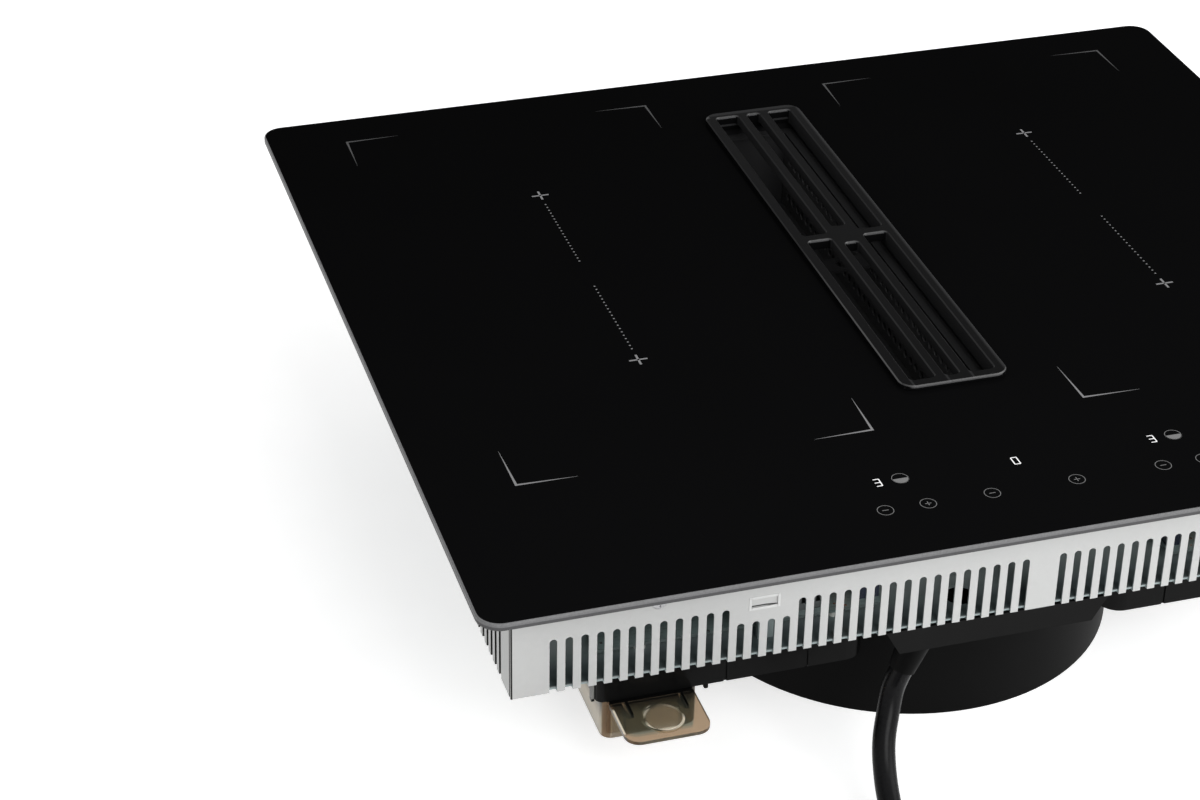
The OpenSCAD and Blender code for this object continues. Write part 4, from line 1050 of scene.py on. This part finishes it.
        # The finger ring's floor has its own lighter colour, the bright lines get a painted highlight, and
        # the dark lines cover the webs and a painted shadow.
        for share, shade in ((finger, self.finger), (bright, self.gleam), (dark, self.dark)):
            colour = board.mix(share, colour, shade)
        board.into("Base Color", colour)
        board.into("Specular IOR Level", board.spread(dark, 0.5, 0.0))
        sides = board.step(board.size(board.facing("X")), 0.3, 0.7, 0.0, 0.45)
        board.into("Transmission Weight", board.spread(board.either(dark, sides, bright), 0.88, 0.0))
        board.into("Roughness", board.spread(flow, self.roughness - 0.04, self.roughness + 0.05))
        board.bump(flow, 0.0001, 0.15)


@dataclass(frozen=True)
class Ink(Finish):
    """Ceramic ink that is fired onto the glass, slightly grainy and darker towards the back."""

    colour: Colour
    back_darkening: Flat = (0.15, 0.2)
    back_darkening_share: float = 0.74

    def lay(self, board: Board) -> None:
        """Lay the grainy ink, darker towards the back.

        Args:
            board: The board of the material.
        """
        board.constants(Specular_IOR_Level=0.1)
        grain = board.noise(2600.0, 2.0, 0.5)
        ink = board.shades(grain, self.colour, (0.3, 0.86), (0.7, 1.12))
        # The ink gets darker towards the back.
        far = board.step(board.at("Y"), *self.back_darkening, 0.0, self.back_darkening_share)
        board.into("Base Color", board.mix(far, ink, BLACK))
        board.into("Roughness", board.spread(grain, 0.45, 0.6))


@dataclass(frozen=True)
class LitBar(Finish):
    """A display bar that shines through the glass, with a faint grain in its glow."""

    colour: Colour = (1.0, 1.0, 1.0)
    strength: float = 0.66

    def lay(self, board: Board) -> None:
        """Lay the glow.

        Args:
            board: The board of the material.
        """
        board.constants(Base_Color=(0.5, 0.5, 0.5), Roughness=0.5, Emission_Strength=self.strength)
        glow = board.noise(700.0, 1.0, 0.4)
        board.into("Emission Color", board.shades(glow, self.colour, (0.2, 0.86), (0.6, 1.0)))


class Finishes:
    """The finishes of the cooktop; each material is made once."""

    GLASS = CeramicGlass("black_ceramic_glass")
    SEAL = Moulded("foam_seal", (0.02, 0.02, 0.02), roughness=0.85, grain=900.0, relief=0.0002, shine=0.2)
    # The grille's chamfers are painted twice as light: a painted highlight.
    GRILLE = GrillePaint(
        "grille_paint",
        (0.0034, 0.0034, 0.0036),
        roughness=0.34,
        shine=0.013,
        rim_shine=0.13,
        cap_shine=0.8,
        rim_highlight_share=2.0,
    )
    FILTER = PowderCoat(
        "filter_coating", (0.03, 0.03, 0.031), roughness=0.4, shine=0.02, rim_shine=0.2, cap_shine=0.4
    )
    MESH = PowderCoat(
        "mesh_coating", (0.075, 0.075, 0.076), roughness=0.4, shine=0.05, rim_shine=0.2, cap_shine=0.4
    )
    HANDLE = PowderCoat(
        "handle_coating", (0.013, 0.013, 0.0135), roughness=0.5, shine=0.01, rim_shine=0.05, cap_shine=0.05
    )
    FUNNEL = Moulded(
        "funnel_plastic", (0.012, 0.012, 0.0125), roughness=0.5, grain=1500.0, relief=0.00006, shine=0.04
    )
    CASE = ZincSheet("zinc_sheet")
    # A lighter copy of the zinc for the window rims: painted highlight.
    LIT_RIM = ZincSheet(
        "lit_pressed_zinc", (0.66, 0.665, 0.66), dull=(0.63, 0.635, 0.63), inside=(0.63, 0.635, 0.63)
    )
    ALUMINIUM = Metal("bare_aluminium", (0.68, 0.69, 0.71), roughness=0.36, brushed=Axis.Y)
    # A darker copy of the aluminium for the heat sinks: painted shade inside the case.
    SHADED_SINK = Metal("shaded_sink_aluminium", (0.19, 0.2, 0.2), roughness=0.45, brushed=Axis.Y)
    SCREW = Metal("screw_steel", (0.5, 0.5, 0.51), roughness=0.3, brushed=Axis.Z, streaks=0.12)
    SHAFT = Metal("shaft_steel", (0.55, 0.55, 0.56), roughness=0.2, brushed=Axis.Z)
    COPPER = Winding("copper_winding")
    WIRE = Metal("copper_wire", (0.62, 0.28, 0.14), roughness=0.35, brushed=Axis.Y, streaks=0.2)
    FERRITE = Moulded("ferrite", (0.03, 0.03, 0.033), roughness=0.55, grain=2200.0, relief=0.00006)
    MICA = Moulded("mica", (0.62, 0.6, 0.54), roughness=0.55, grain=500.0, relief=0.00008)
    BOARD = CircuitBoard("circuit_board")
    PALE = Moulded("pale_plastic", (0.7, 0.7, 0.66), roughness=0.45)
    CAPACITOR = Moulded(
        "capacitor_sleeve",
        (0.016, 0.022, 0.045),
        roughness=0.25,
        grain=800.0,
        relief=0.00002,
        shine=0.5,
        coat=0.4,
    )
    GLOSS_BLACK = Moulded(
        "gloss_black_plastic",
        (0.005, 0.005, 0.005),
        roughness=0.22,
        grain=700.0,
        relief=0.00002,
        shine=0.07,
    )
    PLENUM = PlenumPlastic(
        "plenum_plastic", (0.005, 0.005, 0.005), roughness=0.22, grain=700.0, relief=0.00002, shine=0.07
    )
    MATT_BLACK = Moulded(
        "matt_black_plastic",
        (0.0035, 0.0035, 0.0035),
        roughness=0.5,
        grain=1500.0,
        relief=0.00006,
        shine=0.04,
    )
    DARK_GREY = Moulded("dark_grey_plastic", (0.035, 0.035, 0.038), roughness=0.5)
    SMOKED = SmokedPlastic("smoked_plastic")
    MOTOR = PowderCoat(
        "motor_paint", (0.13, 0.13, 0.14), roughness=0.42, shine=0.45, rim_shine=0.5, cap_shine=0.5
    )
    CABLE = Moulded(
        "cable_jacket", (0.004, 0.004, 0.0045), roughness=0.28, grain=420.0, relief=0.00006, shine=0.1
    )
    PRINT = Ink("printed_ink", (0.24, 0.24, 0.245))
    SYMBOL = Ink("symbol_ink", (0.2, 0.2, 0.2))
    LIT = LitBar("lit_bar")

    _made: dict[str, bpy.types.Material] = {}

    @classmethod
    def get(cls, finish: Finish) -> bpy.types.Material:
        """Give the material of a finish.

        Args:
            finish: The finish.

        Returns:
            Its material, made at the first call.
        """
        if finish.name not in cls._made:
            cls._made[finish.name] = finish.make()
        return cls._made[finish.name]


def dress(obj: bpy.types.Object, finish: Finish) -> None:
    """Give a piece one finish all over.

    Args:
        obj: The piece, or the object of a CAD node.
        finish: Its finish.
    """
    material = Finishes.get(finish)
    if not obj.data.materials:
        obj.data.materials.append(material)
    for i in range(len(obj.data.materials)):
        obj.data.materials[i] = material


def new_piece(
    name: str, vertices: list[Point], faces: list[Sequence[int]], finish: Finish
) -> bpy.types.Object:
    """Make a mesh piece that rides on the cooktop.

    Args:
        name: Name of the piece.
        vertices: Its points in the frame of the part.
        faces: Its faces, as numbers of points.
        finish: Its finish.

    Returns:
        The new object.
    """
    mesh = bpy.data.meshes.new(name)
    mesh.from_pydata(vertices, [], faces)
    obj = bpy.data.objects.new(name, mesh)
    bpy.context.scene.collection.objects.link(obj)
    dress(obj, finish)
    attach(obj, "cooktop")
    log.info("made %s", name)
    return obj


def new_blocks(
    name: str, spans: Iterable[tuple[Point, Point]], finish: Finish, round_by: float
) -> None:
    """Make one piece of blocks with rounded edges.

    Args:
        name: Name of the piece.
        spans: Low and high corner of each block.
        finish: Its finish.
        round_by: Radius of the edges.
    """
    vertices: list[Point] = []
    faces: list[Sequence[int]] = []
    for low, high in spans:
        faces += [[len(vertices) + i for i in quad] for quad in QUADS]
        vertices += product(*zip(low, high))
    made = new_piece(name, vertices, faces, finish)
    soft = made.modifiers.new("rounded", "BEVEL")
    soft.width = round_by
    soft.segments = 2


@dataclass
class SubAssembly:
    """Pieces that belong together, most of them carried over from the CAD model."""

    finishes: dict[str, Finish] = field(default_factory=dict)

    def build(self) -> None:
        """Make the pieces that the CAD model leaves to this scene; some have none."""

    def dress(self) -> None:
        """Give each carried-over CAD node its finish."""
        for node, finish in self.finishes.items():
            dress(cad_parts[node], finish)
            log.info("dressed %s as %s", node, finish.name)


@dataclass
class PhotoCamera:
    """The camera at the place and with the lens that were fitted to the photograph."""

    place: Point = (-0.548408, -1.274076, 0.946109)
    lens: float = 86.021
    azimuth: float = 17.16
    elevation: float = 32.009
    roll: float = 0.842
    sensor: float = 36.0
    clip: Flat = (0.05, 50.0)

    def build(self) -> None:
        """Make the camera and set it as the scene's camera."""
        az, el, roll = (math.radians(a) for a in (self.azimuth, self.elevation, self.roll))
        forward = Vector((math.sin(az) * math.cos(el), math.cos(az) * math.cos(el), -math.sin(el)))
        right = Vector((math.cos(az), -math.sin(az), 0.0))
        up = right.cross(forward)
        across = right * math.cos(roll) + up * math.sin(roll)
        above = up * math.cos(roll) - right * math.sin(roll)
        data = bpy.data.cameras.new("photo_camera")
        data.lens = self.lens
        data.sensor_width = self.sensor
        data.clip_start, data.clip_end = self.clip
        obj = bpy.data.objects.new("photo_camera", data)
        rows = [(across[i], above[i], -forward[i], self.place[i]) for i in range(3)]
        obj.matrix_world = Matrix([*rows, (0.0, 0.0, 0.0, 1.0)])
        bpy.context.scene.collection.objects.link(obj)
        bpy.context.scene.camera = obj


@dataclass
class MainsCable(SubAssembly):
    """The mains cable: straight out of its gland, down to the floor, into a tied coil."""

    diameter: float = 0.012
    route: tuple[Point, ...] = (
        (-0.063, -0.222, 0.073),
        (-0.067, -0.222, 0.0615),
        (-0.071, -0.227, 0.050),
        (-0.076, -0.236, 0.038),
        (-0.079, -0.248, 0.026),
        (-0.081, -0.263, 0.016),
        (-0.083, -0.280, 0.009),
        (-0.087, -0.297, 0.0074),
        (-0.093, -0.313, 0.0074),
        (-0.09525, -0.326, 0.0074),
    )
    coil_middle: Flat = (-0.168, -0.338)
    coil_turns: float = 3.5
    coil_pitch: float = 0.013
    coil_inner: float = 0.050
    coil_low: float = 0.0074
    coil_layer: float = 0.0125
    tail: float = 0.012
    route_steps: int = 6
    turn_steps: int = 40
    roundness: int = 5

    def lead(self) -> list[Vector]:
        """Lay one smooth curve through the route, from the gland to the coil.

        Returns:
            The points of the curve.
        """
        points = [Vector(p) for p in self.route]
        last = points[-1] + Vector((0.0, -self.diameter, 0.0))
        points = [2 * points[0] - points[1], *points, last]
        made = []
        for i in range(1, len(points) - 2):
            a, b, c, d = points[i - 1 : i + 3]
            square = 2 * a - 5 * b + 4 * c - d
            cube = 3 * b - a - 3 * c + d
            for k in range(self.route_steps):
                t = k / self.route_steps
                made.append(0.5 * (2 * b + t * (c - a) + t * t * square + t * t * t * cube))
        return [*made, points[-2]]

    def coil(self) -> list[Vector]:
        """Wind the coil: a spiral in, a climb and a spiral out on top.

        Returns:
            The points of the coil and its tail.
        """
        x, y = self.coil_middle
        half = self.coil_turns / 2
        steps = round(self.coil_turns * self.turn_steps)
        made = []
        for i in range(steps + 1):
            t = i / self.turn_steps - half
            radius = self.coil_inner + self.coil_pitch * abs(t)
            angle = -2 * math.pi * (t + half)
            u = min(max(2 * t + 0.5, 0.0), 1.0)
            height = self.coil_low + self.coil_layer * u * u * (3 - 2 * u)
            made.append(Vector((x + radius * math.cos(angle), y + radius * math.sin(angle), height)))
        return [*made, made[-1] + Vector((0.0, self.tail, 0.0))]

    def build(self) -> None:
        """Make the jacket of the cable as one round curve."""
        points = [*self.lead(), *self.coil()]
        data = bpy.data.curves.new("mains_cable", "CURVE")
        data.dimensions = "3D"
        data.bevel_depth = self.diameter / 2
        data.bevel_resolution = self.roundness
        data.use_fill_caps = True
        line = data.splines.new("POLY")
        line.points.add(len(points) - 1)
        for slot, point in zip(line.points, points):
            slot.co = (*point, 1.0)
        line.use_smooth = True
        cable = bpy.data.objects.new("mains_cable", data)
        bpy.context.scene.collection.objects.link(cable)
        dress(cable, Finishes.CABLE)
        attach(cable, "cooktop")
        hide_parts("cable_free", "cable_coil")


@dataclass
class VentedCase(SubAssembly):
    """The sheet case, with the raised rims of the clip windows that the CAD model lacks."""

    window: Flat = (0.0131, 0.0049)
    window_x: float = 0.1455
    window_z: float = 0.1422
    wall: float = 0.24
    rim: float = 0.0014
    rise: float = 0.0003
    depth: float = 0.001
    soft: float = 0.00024

    def bars(self, x: float, way: int) -> list[tuple[Point, Point]]:
        """Give the four bars of one rim, each by two corners.

        Args:
            x: Middle of the window.
            way: -1 for the front wall, 1 for the back wall.

        Returns:
            Low and high corners of the bars.
        """
        w, h = (side / 2 for side in self.window)
        t = self.rim
        near, far = sorted((way * (self.wall - self.depth), way * (self.wall + self.rise)))
        spans = (
            ((x - w - t, x - w), (-h - t, h + t)),
            ((x + w, x + w + t), (-h - t, h + t)),
            ((x - w, x + w), (-h - t, -h)),
            ((x - w, x + w), (h, h + t)),
        )
        return [((a, near, self.window_z + c), (b, far, self.window_z + d)) for (a, b), (c, d) in spans]

    def build(self) -> None:
        """Make the rims of the four windows as one piece."""
        bars = [bar for way in (-1, 1) for side in (-1, 1) for bar in self.bars(side * self.window_x, way)]
        # The rims are dressed in a lighter copy of the zinc: a painted highlight.
        new_blocks("clip_window_rims", bars, Finishes.LIT_RIM, self.soft)


@dataclass
class Plenum(SubAssembly):
    """The plenum with its tray, and the two catches at its foot that the CAD model lacks."""

    catch: Point = (0.1539, -0.1851, 0.0536)
    catch_half: Point = (0.0013, 0.0014, 0.0017)
    soft: float = 0.00091

    def build(self) -> None:
        """Make the catches as one piece."""
        x, y, z = self.catch
        a, b, c = self.catch_half
        catches = [((side * x - a, y - b, z - c), (side * x + a, y + b, z + c)) for side in (-1, 1)]
        new_blocks("plenum_catches", catches, Finishes.GLOSS_BLACK, self.soft)


@dataclass
class GlassPrint(SubAssembly):
    """What is printed on the glass and what shines through it."""

    level: float = 0.17003
    zone_left: Flat = (-0.2446, -0.0574)
    zone_depth: Flat = (-0.1523, 0.2303)
    arm: float = 0.032
    arm_root: float = 0.0013
    arm_tip: float = 0.0001
    cross_x: float = -0.15135
    cross_y: Flat = (-0.055, 0.1343)
    cross_size: float = 0.010
    cross_line: float = 0.0012
    cross_clear: float = 0.0114
    dots: int = 20
    dot: float = 0.0009
    dot_gap: float = 0.0292
    digit: Flat = (0.003, 0.0059)
    digit_line: float = 0.00058
    digit_x: Point = (-0.0732, 0.0, 0.0742)
    row_y: float = -0.1974
    disc_x: Flat = (-0.0611, 0.0863)
    disc_y: float = -0.1967
    disc: float = 0.0044
    disc_share: float = 0.98
    disc_steps: int = 16
    key_y: float = -0.2208
    minus_x: Point = (-0.0783, -0.0225, 0.0691)
    plus_x: Point = (-0.0561, 0.0225, 0.0913)
    ring: float = 0.0042
    ring_line: float = 0.00033
    sign_share: float = 0.38
    sign_line: float = 0.00045

    def __post_init__(self) -> None:
        """Start with empty lists of shapes for each kind of print."""
        self.ink: list[Outline] = []
        self.symbols: list[Outline] = []
        self.lit: list[Outline] = []

    def line(self, a: Flat, b: Flat, width: float) -> Outline:
        """Give the outline of a straight line.

        Args:
            a: Where it starts.
            b: Where it ends.
            width: Its width.

        Returns:
            Four corners.
        """
        along = Vector((b[0] - a[0], b[1] - a[1])).normalized()
        side = Vector((-along.y, along.x)) * width / 2
        return [(p[0] + way * side.x, p[1] + way * side.y) for p, way in ((a, 1), (a, -1), (b, -1), (b, 1))]

    def circle(self, middle: Flat, radius: float, width: float, sides: int = 48) -> list[Outline]:
        """Give a ring as short pieces.

        Args:
            middle: Its centre.
            radius: Its outer radius.
            width: Width of its line.
            sides: Number of pieces.

        Returns:
            The outlines of the pieces.
        """
        made = []
        for i in range(sides):
            a, b = (2 * math.pi * k / sides for k in (i, i + 1))
            corners = ((radius, a), (radius, b), (radius - width, b), (radius - width, a))
            made.append([(middle[0] + r * math.cos(t), middle[1] + r * math.sin(t)) for r, t in corners])
        return made

    def corner(self, x: float, y: float, way_x: int, way_y: int) -> None:
        """Print one corner mark of a zone.

        Args:
            x: Place of its corner.
            y: Place of its corner.
            way_x: Way of its arm along X, 1 or -1.
            way_y: Way of its arm along Y, 1 or -1.
        """
        arm, tip = self.arm, self.arm_tip
        root = (x + way_x * self.arm_root, y + way_y * self.arm_root)
        self.ink.append([(x, y), (x + way_x * arm, y), (x + way_x * arm, y + way_y * tip), root])
        self.ink.append([(x, y), root, (x + way_x * tip, y + way_y * arm), (x, y + way_y * arm)])

    def zone(self, way: int) -> None:
        """Print the marks of one double zone.

        Args:
            way: Way to the middle of the glass: 1 for the left zone, -1 for the right.
        """
        outer, inner = (way * x for x in self.zone_left)
        for y, way_y in zip(self.zone_depth, (1, -1)):
            self.corner(outer, y, way, way_y)
            self.corner(inner, y, -way, way_y)
        x = way * self.cross_x
        half = self.cross_size / 2
        for y in self.cross_y:
            self.ink.append(self.line((x - half, y), (x + half, y), self.cross_line))
            self.ink.append(self.line((x, y - half), (x, y + half), self.cross_line))
        low, high = self.cross_y
        middle = (low + high) / 2
        for start, stop in (
            (low + self.cross_clear, middle - self.dot_gap / 2),
            (middle + self.dot_gap / 2, high - self.cross_clear),
        ):
            for i in range(self.dots):
                y = start + (stop - start) * i / (self.dots - 1)
                self.ink.append(self.line((x, y - self.dot / 2), (x, y + self.dot / 2), self.dot))

    def number(self, x: float, strokes: Sequence[Stroke]) -> None:
        """Light one digit.

        Args:
            x: Place of its middle.
            strokes: The bars that are lit.
        """
        w, h = self.digit
        for stroke in strokes:
            ends = [(x + (a - 0.5) * w, self.row_y + (b / 2 - 0.5) * h) for a, b in stroke.value]
            self.lit.append(self.line(*ends, self.digit_line))

    def key(self, x: float, plus: bool) -> None:
        """Print one round key.

        Args:
            x: Place of its middle.
            plus: Whether it is a plus key and not a minus key.
        """
        y, half = self.key_y, self.ring * self.sign_share
        self.symbols += self.circle((x, y), self.ring, self.ring_line)
        self.symbols.append(self.line((x - half, y), (x + half, y), self.sign_line))
        if plus:
            self.symbols.append(self.line((x, y - half), (x, y + half), self.sign_line))

    def half_disc(self, x: float) -> None:
        """Print the round zone symbol, with its front half filled.

        Args:
            x: Place of its middle.
        """
        y, radius = self.disc_y, self.disc * self.disc_share
        self.symbols += self.circle((x, y), self.disc, self.ring_line)
        arc = [-math.pi * i / self.disc_steps for i in range(self.disc_steps + 1)]
        self.symbols.append([(x + radius * math.cos(a), y + radius * math.sin(a)) for a in arc])

    def sheet(self, name: str, shapes: list[Outline], finish: Finish) -> None:
        """Make one piece of flat shapes on the glass.

        Args:
            name: Name of the piece.
            shapes: Outlines of the shapes.
            finish: Its finish.
        """
        vertices, faces = [], []
        for shape in shapes:
            area = sum(a[0] * b[1] - b[0] * a[1] for a, b in zip(shape, [*shape[1:], shape[0]]))
            ordered = shape if area > 0 else shape[::-1]
            faces.append(list(range(len(vertices), len(vertices) + len(ordered))))
            vertices += [(x, y, self.level) for x, y in ordered]
        new_piece(name, vertices, faces, finish)

    def build(self) -> None:
        """Make the zone marks, the keys and the lit digits."""
        three = [Stroke.TOP, Stroke.UPPER_RIGHT, Stroke.MIDDLE, Stroke.LOWER_RIGHT, Stroke.BOTTOM]
        nought = [stroke for stroke in Stroke if stroke is not Stroke.MIDDLE]
        for way in (1, -1):
            self.zone(way)
        for x, strokes in zip(self.digit_x, (three, nought, three)):
            self.number(x, strokes)
        for x in self.disc_x:
            self.half_disc(x)
        for x in self.minus_x:
            self.key(x, False)
        for x in self.plus_x:
            self.key(x, True)
        self.sheet("zone_marks", self.ink, Finishes.PRINT)
        self.sheet("key_symbols", self.symbols, Finishes.SYMBOL)
        self.sheet("lit_digits", self.lit, Finishes.LIT)


@dataclass(frozen=True)
class Lamp:
    """A square lamp with soft edges."""

    name: str
    place: Point
    size: float
    power: float

    def build(self, aim: Point) -> None:
        """Make the lamp.

        Args:
            aim: The place that it shines at.
        """
        data = bpy.data.lights.new(self.name, "AREA")
        data.size = self.size
        data.energy = self.power
        obj = bpy.data.objects.new(self.name, data)
        obj.location = self.place
        obj.rotation_euler = (Vector(aim) - Vector(self.place)).to_track_quat("-Z", "Y").to_euler()
        bpy.context.scene.collection.objects.link(obj)


@dataclass
class Studio:
    """A pale floor, soft lamps and a white sky."""

    floor_size: float = 14.0
    floor_glow: float = 0.6
    dark_paper: Colour = (0.84, 0.84, 0.84)
    pale_paper: Colour = (0.87, 0.87, 0.87)
    daylight: float = 0.55
    lamps: tuple[Lamp, ...] = (
        Lamp("key_lamp", (0.4, -2.8, 1.9), size=1.8, power=56.0),
        Lamp("fill_lamp", (2.2, -1.0, 1.5), size=2.0, power=29.0),
    )
    aim: Point = (0.0, 0.0, 0.12)

    def seen(self, nodes: Nodes, hidden: float, shown: float) -> Socket:
        """Give a value for what the camera, gloss and glass see.

        Args:
            nodes: The nodes of the floor or the sky.
            hidden: The value for every other ray.
            shown: The value for camera, glossy and transmission rays.

        Returns:
            The socket with the value.
        """
        path = nodes.node("ShaderNodeLightPath").outputs
        rays = [path[f"Is {kind} Ray"] for kind in ("Camera", "Glossy", "Transmission")]
        return nodes.spread(nodes.either(*rays), hidden, shown)

    def floor(self) -> None:
        """Make the floor: pale, with the object's shadow, and white where it is lit."""
        half = self.floor_size / 2
        mesh = bpy.data.meshes.new("floor")
        corners = [(x * half, y * half, 0.0) for x, y in ((-1, -1), (1, -1), (1, 1), (-1, 1))]
        mesh.from_pydata(corners, [], [(0, 1, 2, 3)])
        obj = bpy.data.objects.new("floor", mesh)
        bpy.context.scene.collection.objects.link(obj)
        board = Board("floor_paper")
        board.constants(Roughness=0.9, Specular_IOR_Level=0.0, Emission_Color=(1.0, 1.0, 1.0))
        fibre = board.noise(40.0, 2.0, 0.5)
        board.into("Base Color", board.ramp(fibre, [(0.3, self.dark_paper), (0.7, self.pale_paper)]))
        board.into("Emission Strength", self.seen(board, 0.0, self.floor_glow))
        mesh.materials.append(board.material)

    def sky(self) -> None:
        """Make the sky: white to look at, and a plain daylight on the object."""
        world = bpy.data.worlds.new("studio_sky")
        world.use_nodes = True
        bpy.context.scene.world = world
        sky = Nodes(world.node_tree)
        background = sky.nodes["Background"]
        background.inputs["Color"].default_value = (1.0, 1.0, 1.0, 1.0)
        sky.links.new(self.seen(sky, self.daylight, 1.0), background.inputs["Strength"])

    def build(self) -> None:
        """Make the floor, the sky and the lamps."""
        self.floor()
        self.sky()
        for lamp in self.lamps:
            lamp.build(self.aim)
        bpy.context.scene.view_settings.view_transform = "Standard"


def sub_assemblies() -> list[SubAssembly]:
    """List the sub-assemblies, each with the finishes of its CAD nodes.

    Returns:
        The sub-assemblies in the order in which they are built.
    """
    return [
        MainsCable(
            {
                "cable_gland": Finishes.MATT_BLACK,
                "cable_tie": Finishes.MATT_BLACK,
                "cable_cores": Finishes.WIRE,
            }
        ),
        SubAssembly(
            {
                "glass_top": Finishes.GLASS,
                "worktop_seal": Finishes.SEAL,
                "funnel_seal": Finishes.SEAL,
            }
        ),
        GlassPrint(),
        SubAssembly(
            {
                "intake_grille": Finishes.GRILLE,
                "filter_frame": Finishes.FILTER,
                "filter_mesh": Finishes.MESH,
                "filter_handle": Finishes.HANDLE,
                "intake_funnel": Finishes.FUNNEL,
            }
        ),
        VentedCase(
            {
                "case_floor": Finishes.CASE,
                "front_vent_panel": Finishes.CASE,
                "rear_vent_panel": Finishes.CASE,
                "left_side_panel": Finishes.CASE,
                "right_side_panel": Finishes.CASE,
                "case_screws": Finishes.SCREW,
                "terminal_cover": Finishes.GLOSS_BLACK,
                "terminal_block": Finishes.PALE,
            }
        ),
        SubAssembly(
            {
                "coil_carriers": Finishes.ALUMINIUM,
                "carrier_posts": Finishes.DARK_GREY,
                "induction_coils": Finishes.COPPER,
                "ferrite_bars": Finishes.FERRITE,
                "coil_insulation": Finishes.MICA,
                "coil_sensors": Finishes.PALE,
                "power_boards": Finishes.BOARD,
                "board_standoffs": Finishes.PALE,
                "heat_sinks": Finishes.SHADED_SINK,
                "filter_capacitors": Finishes.CAPACITOR,
                "choke_coils": Finishes.COPPER,
                "cooling_fan_frames": Finishes.MATT_BLACK,
                "left_fan_rotor": Finishes.DARK_GREY,
                "right_fan_rotor": Finishes.DARK_GREY,
                "touch_board": Finishes.BOARD,
                "board_bracket": Finishes.CASE,
                "key_displays": Finishes.MATT_BLACK,
            }
        ),
        Plenum(
            {
                "plenum_housing": Finishes.PLENUM,
                "plenum_screws": Finishes.SCREW,
                "tray_rails": Finishes.GLOSS_BLACK,
                "drip_tray": Finishes.SMOKED,
                "inlet_ring": Finishes.DARK_GREY,
            }
        ),
        SubAssembly(
            {
                "blower_scroll": Finishes.MATT_BLACK,
                "blower_screws": Finishes.SCREW,
                "outlet_duct": Finishes.MATT_BLACK,
                "blower_motor": Finishes.MOTOR,
                "motor_screws": Finishes.SCREW,
                "impeller": Finishes.DARK_GREY,
                "motor_shaft": Finishes.SHAFT,
            }
        ),
    ]


def main() -> None:
    """Build the camera, every sub-assembly and the studio."""
    logging.basicConfig(level=logging.INFO, format="%(name)s: %(message)s")
    PhotoCamera().build()
    for assembly in sub_assemblies():
        assembly.build()
        assembly.dress()
    Studio().build()


if __name__ == "__main__":
    main()
